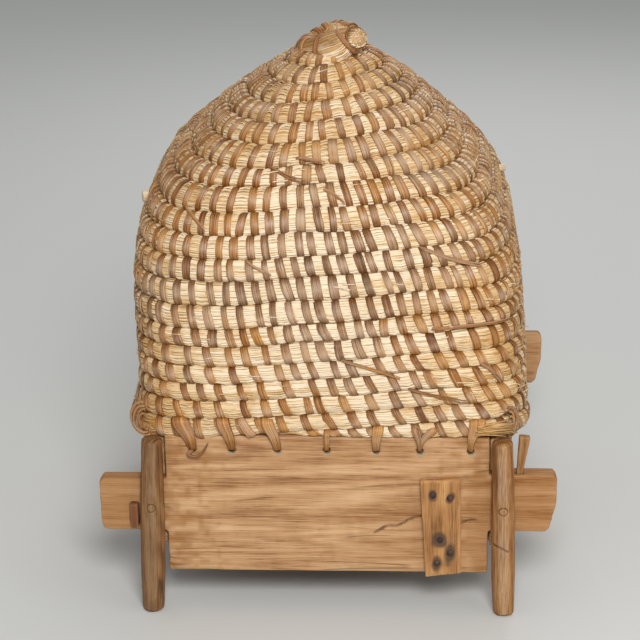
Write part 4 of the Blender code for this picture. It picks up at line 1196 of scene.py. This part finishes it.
def corner_loops():
    tubes = Tubes()
    for hand, (wide, high, sizes) in CORNER_LOOPS.items():
        for number, size in enumerate(sizes):
            turns = np.radians(np.linspace(100, -105, 9) + rng.normal(0, 6))
            shift = np.clip(rng.normal(0, 0.0010, 3), -0.0008, 0.0008)
            path = np.stack([hand * (LOOP_X + wide * size * np.cos(turns)) + shift[0],
                             LOOP_Y - 0.0040 * (1 - size) + 0.0030 * np.cos(turns) + shift[1],
                             LOOP_Z + high * size * np.sin(turns) + shift[2],
                             0.0036 * (1 - 0.5 * np.abs(np.sin(turns)) ** 3)], 1)
            # The loops carry a little painted shade and a painted highlight
            ribbon(tubes, 1020 + 4 * hand + number, path, across=(hand * 0.35, 1.0, 0.0), count=26,
                   tint=rng.uniform(0.3, 0.9), crest=0.25, deep=0.15)
    tubes.build("corner_loops", "splint")


rope_body()
straws()
frays()
stitches()
laces()
crown()
loose_strips()
corner_straws()
corner_loops()


# Worn wood: a finer copy of each rigid solid, with rounded edges and a relief of grain

def read_all(items, key, width=3, kind=float):
    """One value of every item, as rows of width numbers."""
    values = np.empty(len(items) * width, kind)
    items.foreach_get(key, values)
    return values.reshape(-1, width)


def neighbour_mean(edges, values):
    """The mean of values over each vertex's neighbours."""
    total = np.zeros_like(values)
    count = np.zeros(len(values))
    for a, b in ((0, 1), (1, 0)):
        np.add.at(total, edges[:, a], values[edges[:, b]])
        np.add.at(count, edges[:, a], 1)
    return total / np.maximum(count, 1)[:, None]


def worn_wood(name, finish, voxel, axis, relief=1.0, rounding=1.0, marks=(), front_face_light=0.0):
    """Makes a finer, worn copy of a solid, with its grain along an axis.

    Each of marks is a stain: its kind, place, size and strength, and how deep the wood is sunk there.
    With its last argument set, the two faces that look along Y get a painted front light, a paler tone as
    if lit from the front; else the edges are worn.
    """
    source = nodes[name]
    block = new_object("block", source.data.copy())
    voxels = block.modifiers.new("voxels", "REMESH")
    voxels.mode = "VOXEL"
    voxels.voxel_size = voxel
    solid = block.evaluated_get(bpy.context.evaluated_depsgraph_get())
    mesh = bpy.data.meshes.new_from_object(solid)
    bpy.data.objects.remove(block)
    places = read_all(mesh.vertices, "co")
    normals = read_all(mesh.vertex_normals, "vector")
    edges = read_all(mesh.edges, "vertices", 2, np.int32)
    edge = np.sum((places - neighbour_mean(edges, places)) * normals, 1)
    for _ in range(3):
        edge = neighbour_mean(edges, edge[:, None])[:, 0]
    edge = np.clip(edge / (0.10 * voxel), 0, 1)
    seed = sum(map(ord, name)) % 97
    along = np.array([1.0 if letter == axis else 0.0 for letter in "XYZ"])

    def bumps(long, short, extra):
        """Noise drawn out along the grain."""
        return lumps(places, long * along + short * (1 - along), seed + extra)

    lift = 0.00045 * bumps(0.16, 0.030, 0) + 0.00028 * bumps(0.09, 0.0075, 1)
    lift = lift + 0.00014 * bumps(0.05, 0.0030, 2)
    chips = np.clip(bumps(0.020, 0.008, 3), 0, 1)
    lift = relief * (lift - rounding * edge * (0.0005 + 0.0014 * chips))
    values = {key: np.zeros(len(places)) for key in ("amber", "ash", "grime")}
    for kind, place, size, strength, sink in marks:
        uneven = 1 + 0.35 * lumps(places, 0.006, seed + 5)
        gap = np.linalg.norm((places - place) / size, axis=1) * uneven
        share = 1 - ease(gap * 2 - 1)
        values[kind] = np.maximum(values[kind], strength * share)
        lift = lift - sink * share
    values["wear_and_front_light"] = edge
    # Painted front light: the faces that look along Y are painted paler, in place of the edge wear
    if front_face_light:
        facing = np.abs(normals[:, 1]) + 0.10 * bumps(0.03, 0.004, 6)
        patchy = 0.75 + 0.25 * lumps(places, 0.012, seed + 7)
        values["wear_and_front_light"] = front_face_light * ease((facing - 0.80) / 0.16) * patchy
    places = places + normals * lift[:, None]
    places[:, 2] = np.maximum(places[:, 2], 0)
    mesh.vertices.foreach_set("co", places.ravel())
    mesh.update()
    piece = add_piece("worn_" + name, mesh, finish, source["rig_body"], values)
    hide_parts(name)


CLEAT_FACE = float(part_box("repair_cleat")[0].y)
# Half width and half height of the iron stain round each cleat nail
NAIL_STAINS = ((0.0062, 0.0085), (0.0056, 0.0075), (0.0110, 0.0130), (0.0072, 0.0135), (0.0072, 0.0100))
# Cracks in x and z. The cleat hides the middle of the front board's
BOARD_CRACKS = (
    ((0.0480, 0.0865), (0.0525, 0.0890), (0.0568, 0.0926), (0.0628, 0.0945), (0.0698, 0.0939),
     (0.0768, 0.0973), (0.0828, 0.1018), (0.0890, 0.1035), (0.0960, 0.1055)),
    ((0.1348, 0.0980), (0.1410, 0.1005), (0.1478, 0.1014)),
)
LEG_CRACK = ((0.1655, 0.0802), (0.1685, 0.0795), (0.1723, 0.0781), (0.1765, 0.0762), (0.1813, 0.0738))
CRACK_STEP = 0.0012


def ear_marks(face, strength):
    """Amber stains at both ends of a board."""
    return [("amber", (side * 0.250, face, 0.118), (0.140, 0.2, 0.3), strength, 0) for side in (-1, 1)]


def crack_marks(path, face, strength):
    """Small sunk marks in a row along a crack."""
    marks = []
    for (x, z), (next_x, next_z) in zip(path, path[1:]):
        steps = max(round(math.hypot(next_x - x, next_z - z) / CRACK_STEP), 1)
        for i in range(steps):
            place = (x + (next_x - x) * i / steps, face, z + (next_z - z) * i / steps)
            shade = strength * rng.uniform(0.6, 1.0)
            marks.append(("grime", place, (0.0024, 0.012, 0.0016), shade, 0.0008))
    return marks


cleat_marks = []
for number, (wide, high) in enumerate(NAIL_STAINS, 1):
    nail = f"cleat_nail_{number}"
    x, _, z = box_middle(nail)
    cleat_marks.append(("grime", (x, CLEAT_FACE, z), (wide, 0.05, high), 0.95, 0.0003))
    for place in nodes[nail].material_slots:
        place.material = FINISHES["iron"]
board_marks = ear_marks(-FRONT_FACE, 0.92)
board_marks += [("amber", (0.110, -FRONT_FACE, 0.072), (0.13, 0.2, 0.075), 0.34, 0),
                ("amber", (0.160, -FRONT_FACE, 0.095), (0.04, 0.2, 0.090), 0.80, 0)]
for number in range(2, 8):
    spot = (box_middle(f"front_lace_{number}")[0] + 0.0005, -FRONT_FACE, BOARD_TOP - HOLE_DROP - 0.0030)
    board_marks.append(("ash", spot, (0.0062, 0.012, 0.0046), 0.9, 0.0002))
for path in BOARD_CRACKS:
    board_marks += crack_marks(path, -FRONT_FACE, 0.95)
leg_marks = crack_marks(LEG_CRACK, float(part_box("front_right_leg")[0].y), 0.9)

board_wood = wood_finish("board_oak", BOARD_TONES, "X")
side_wood = wood_finish("side_oak", BOARD_TONES, "Y")
cleat_wood = wood_finish("cleat_oak", CLEAT_TONES, "Z", 1.3, dirt=(0.050, 0.035, 0.029))
left_leg_wood = wood_finish("left_leg_stick", LEFT_LEG_TONES, "Z", 1.4, 0.5, wear_and_light_share=0.8)
right_leg_wood = wood_finish("right_leg_stick", RIGHT_LEG_TONES, "Z", 1.4, 0.5, wear_and_light_share=0.8)
key_wood = wood_finish("key_oak", KEY_TONES, "Z", 1.6)
dark_key_wood = wood_finish("dark_key_oak", DARK_KEY_TONES, "Z", 1.6)
pale_wood = wood_finish("peeled_stick", PALE_TONES, "X", 1.8, 0.5, cracks=0.2)

worn_wood("front_board", board_wood, 0.0016, "X", 1.0, 0.4, board_marks)
worn_wood("rear_board", board_wood, 0.0023, "X", 1.0, 0.4, ear_marks(FRONT_FACE, 0.50))
for hand, leg_wood in (("left", left_leg_wood), ("right", right_leg_wood)):
    worn_wood(hand + "_side_board", side_wood, 0.0025, "Y")
    for end, voxel in (("front", 0.0012), ("rear", 0.0018)):
        corner = f"{end}_{hand}"
        marks = leg_marks if corner == "front_right" else ()
        # The legs' faces that look along Y get the painted front light
        worn_wood(corner + "_leg", leg_wood, voxel, "Z", 1.5, 0.4, marks, 1.0)
        wood = dark_key_wood if corner == "front_left" else key_wood
        worn_wood(corner + "_key", wood, 0.0009, "Z", 0.8)
        # A peg is swollen all round, so that it fills its hole
        swollen = [("grime", box_middle(corner + "_peg"), (1, 1, 1), 0, -0.0004)]
        # Its faces that look along Y get the painted front light as well
        worn_wood(corner + "_peg", leg_wood, 0.0009, "Y", 0.3, 0.3, swollen, 1.0)
worn_wood("repair_cleat", cleat_wood, 0.0010, "Z", 0.9, 0.6, cleat_marks)
worn_wood("comb_stick", pale_wood, 0.0013, "X", 0.8)


# Floor, light and camera

FLOOR_REACH = 25
FLOOR_CORNERS = [(x * FLOOR_REACH, y * FLOOR_REACH, 0) for x, y in ((-1, -1), (1, -1), (1, 1), (-1, 1))]
# The lamps: place, what each looks at, size and power
LAMPS = {
    "key": ((0.25, -1.95, 1.55), (0, 0, 0.28), 0.8, 40),
    "fill": ((1.6, -1.1, 0.6), (0, 0, 0.25), 1.2, 4),
    "rim": ((0.3, 1.8, 1.7), (0, 0, 0.3), 1.4, 14),
}
# The camera: place, and its turn to the left, its tilt down and its roll in degrees
CAMERA_PLACE = (0.0805, -2.0111, 0.9862)
CAMERA_TURNS = (2.7156, 20.402, -0.6009)
LENS = 112.5
SENSOR = 36.0


def floor():
    mesh = bpy.data.meshes.new("floor")
    mesh.from_pydata(FLOOR_CORNERS, [], [(0, 1, 2, 3)])
    made = Finish("floor")
    made.feed(made.shader, {"Base Color": (0.62, 0.62, 0.60, 1), "Roughness": 0.8})
    mesh.materials.append(made.material)
    plane = new_object("floor", mesh)


def aim(thing, place, *axes):
    """Puts a lamp or the camera at a place, its own X, Y and Z along the axes."""
    rows = [(*row, p) for row, p in zip(np.stack(axes, 1), place)]
    thing.matrix_world = Matrix(rows + [(0, 0, 0, 1)])


def lamp(name, place, target, size, power):
    data = bpy.data.lights.new(name, "AREA")
    data.shape = "DISK"
    data.size = size
    data.energy = power
    back = unit(np.array(place, float) - np.array(target, float))
    right = unit(np.cross((0, 0, 1), back))
    aim(new_object(name, data), place, right, np.cross(back, right), back)


def camera():
    yaw, pitch, roll = map(math.radians, CAMERA_TURNS)
    level = math.cos(pitch)
    forward = np.array((-math.sin(yaw) * level, math.cos(yaw) * level, -math.sin(pitch)))
    right = np.array((math.cos(yaw), math.sin(yaw), 0.0))
    up = np.cross(right, forward)
    data = bpy.data.cameras.new("camera")
    data.sensor_width = SENSOR
    data.lens = LENS
    thing = new_object("camera", data)
    aim(thing, CAMERA_PLACE, math.cos(roll) * right + math.sin(roll) * up,
        math.cos(roll) * up - math.sin(roll) * right, -forward)
    bpy.context.scene.camera = thing


floor()
for name, numbers in LAMPS.items():
    lamp(name, *numbers)
world = bpy.data.worlds.new("world")
world.use_nodes = True
sky = world.node_tree.nodes["Background"]
sky.inputs["Color"].default_value = (0.80, 0.82, 0.82, 1)
sky.inputs["Strength"].default_value = 0.5
bpy.context.scene.world = world
camera()
bpy.context.scene.view_settings.view_transform = "Standard"
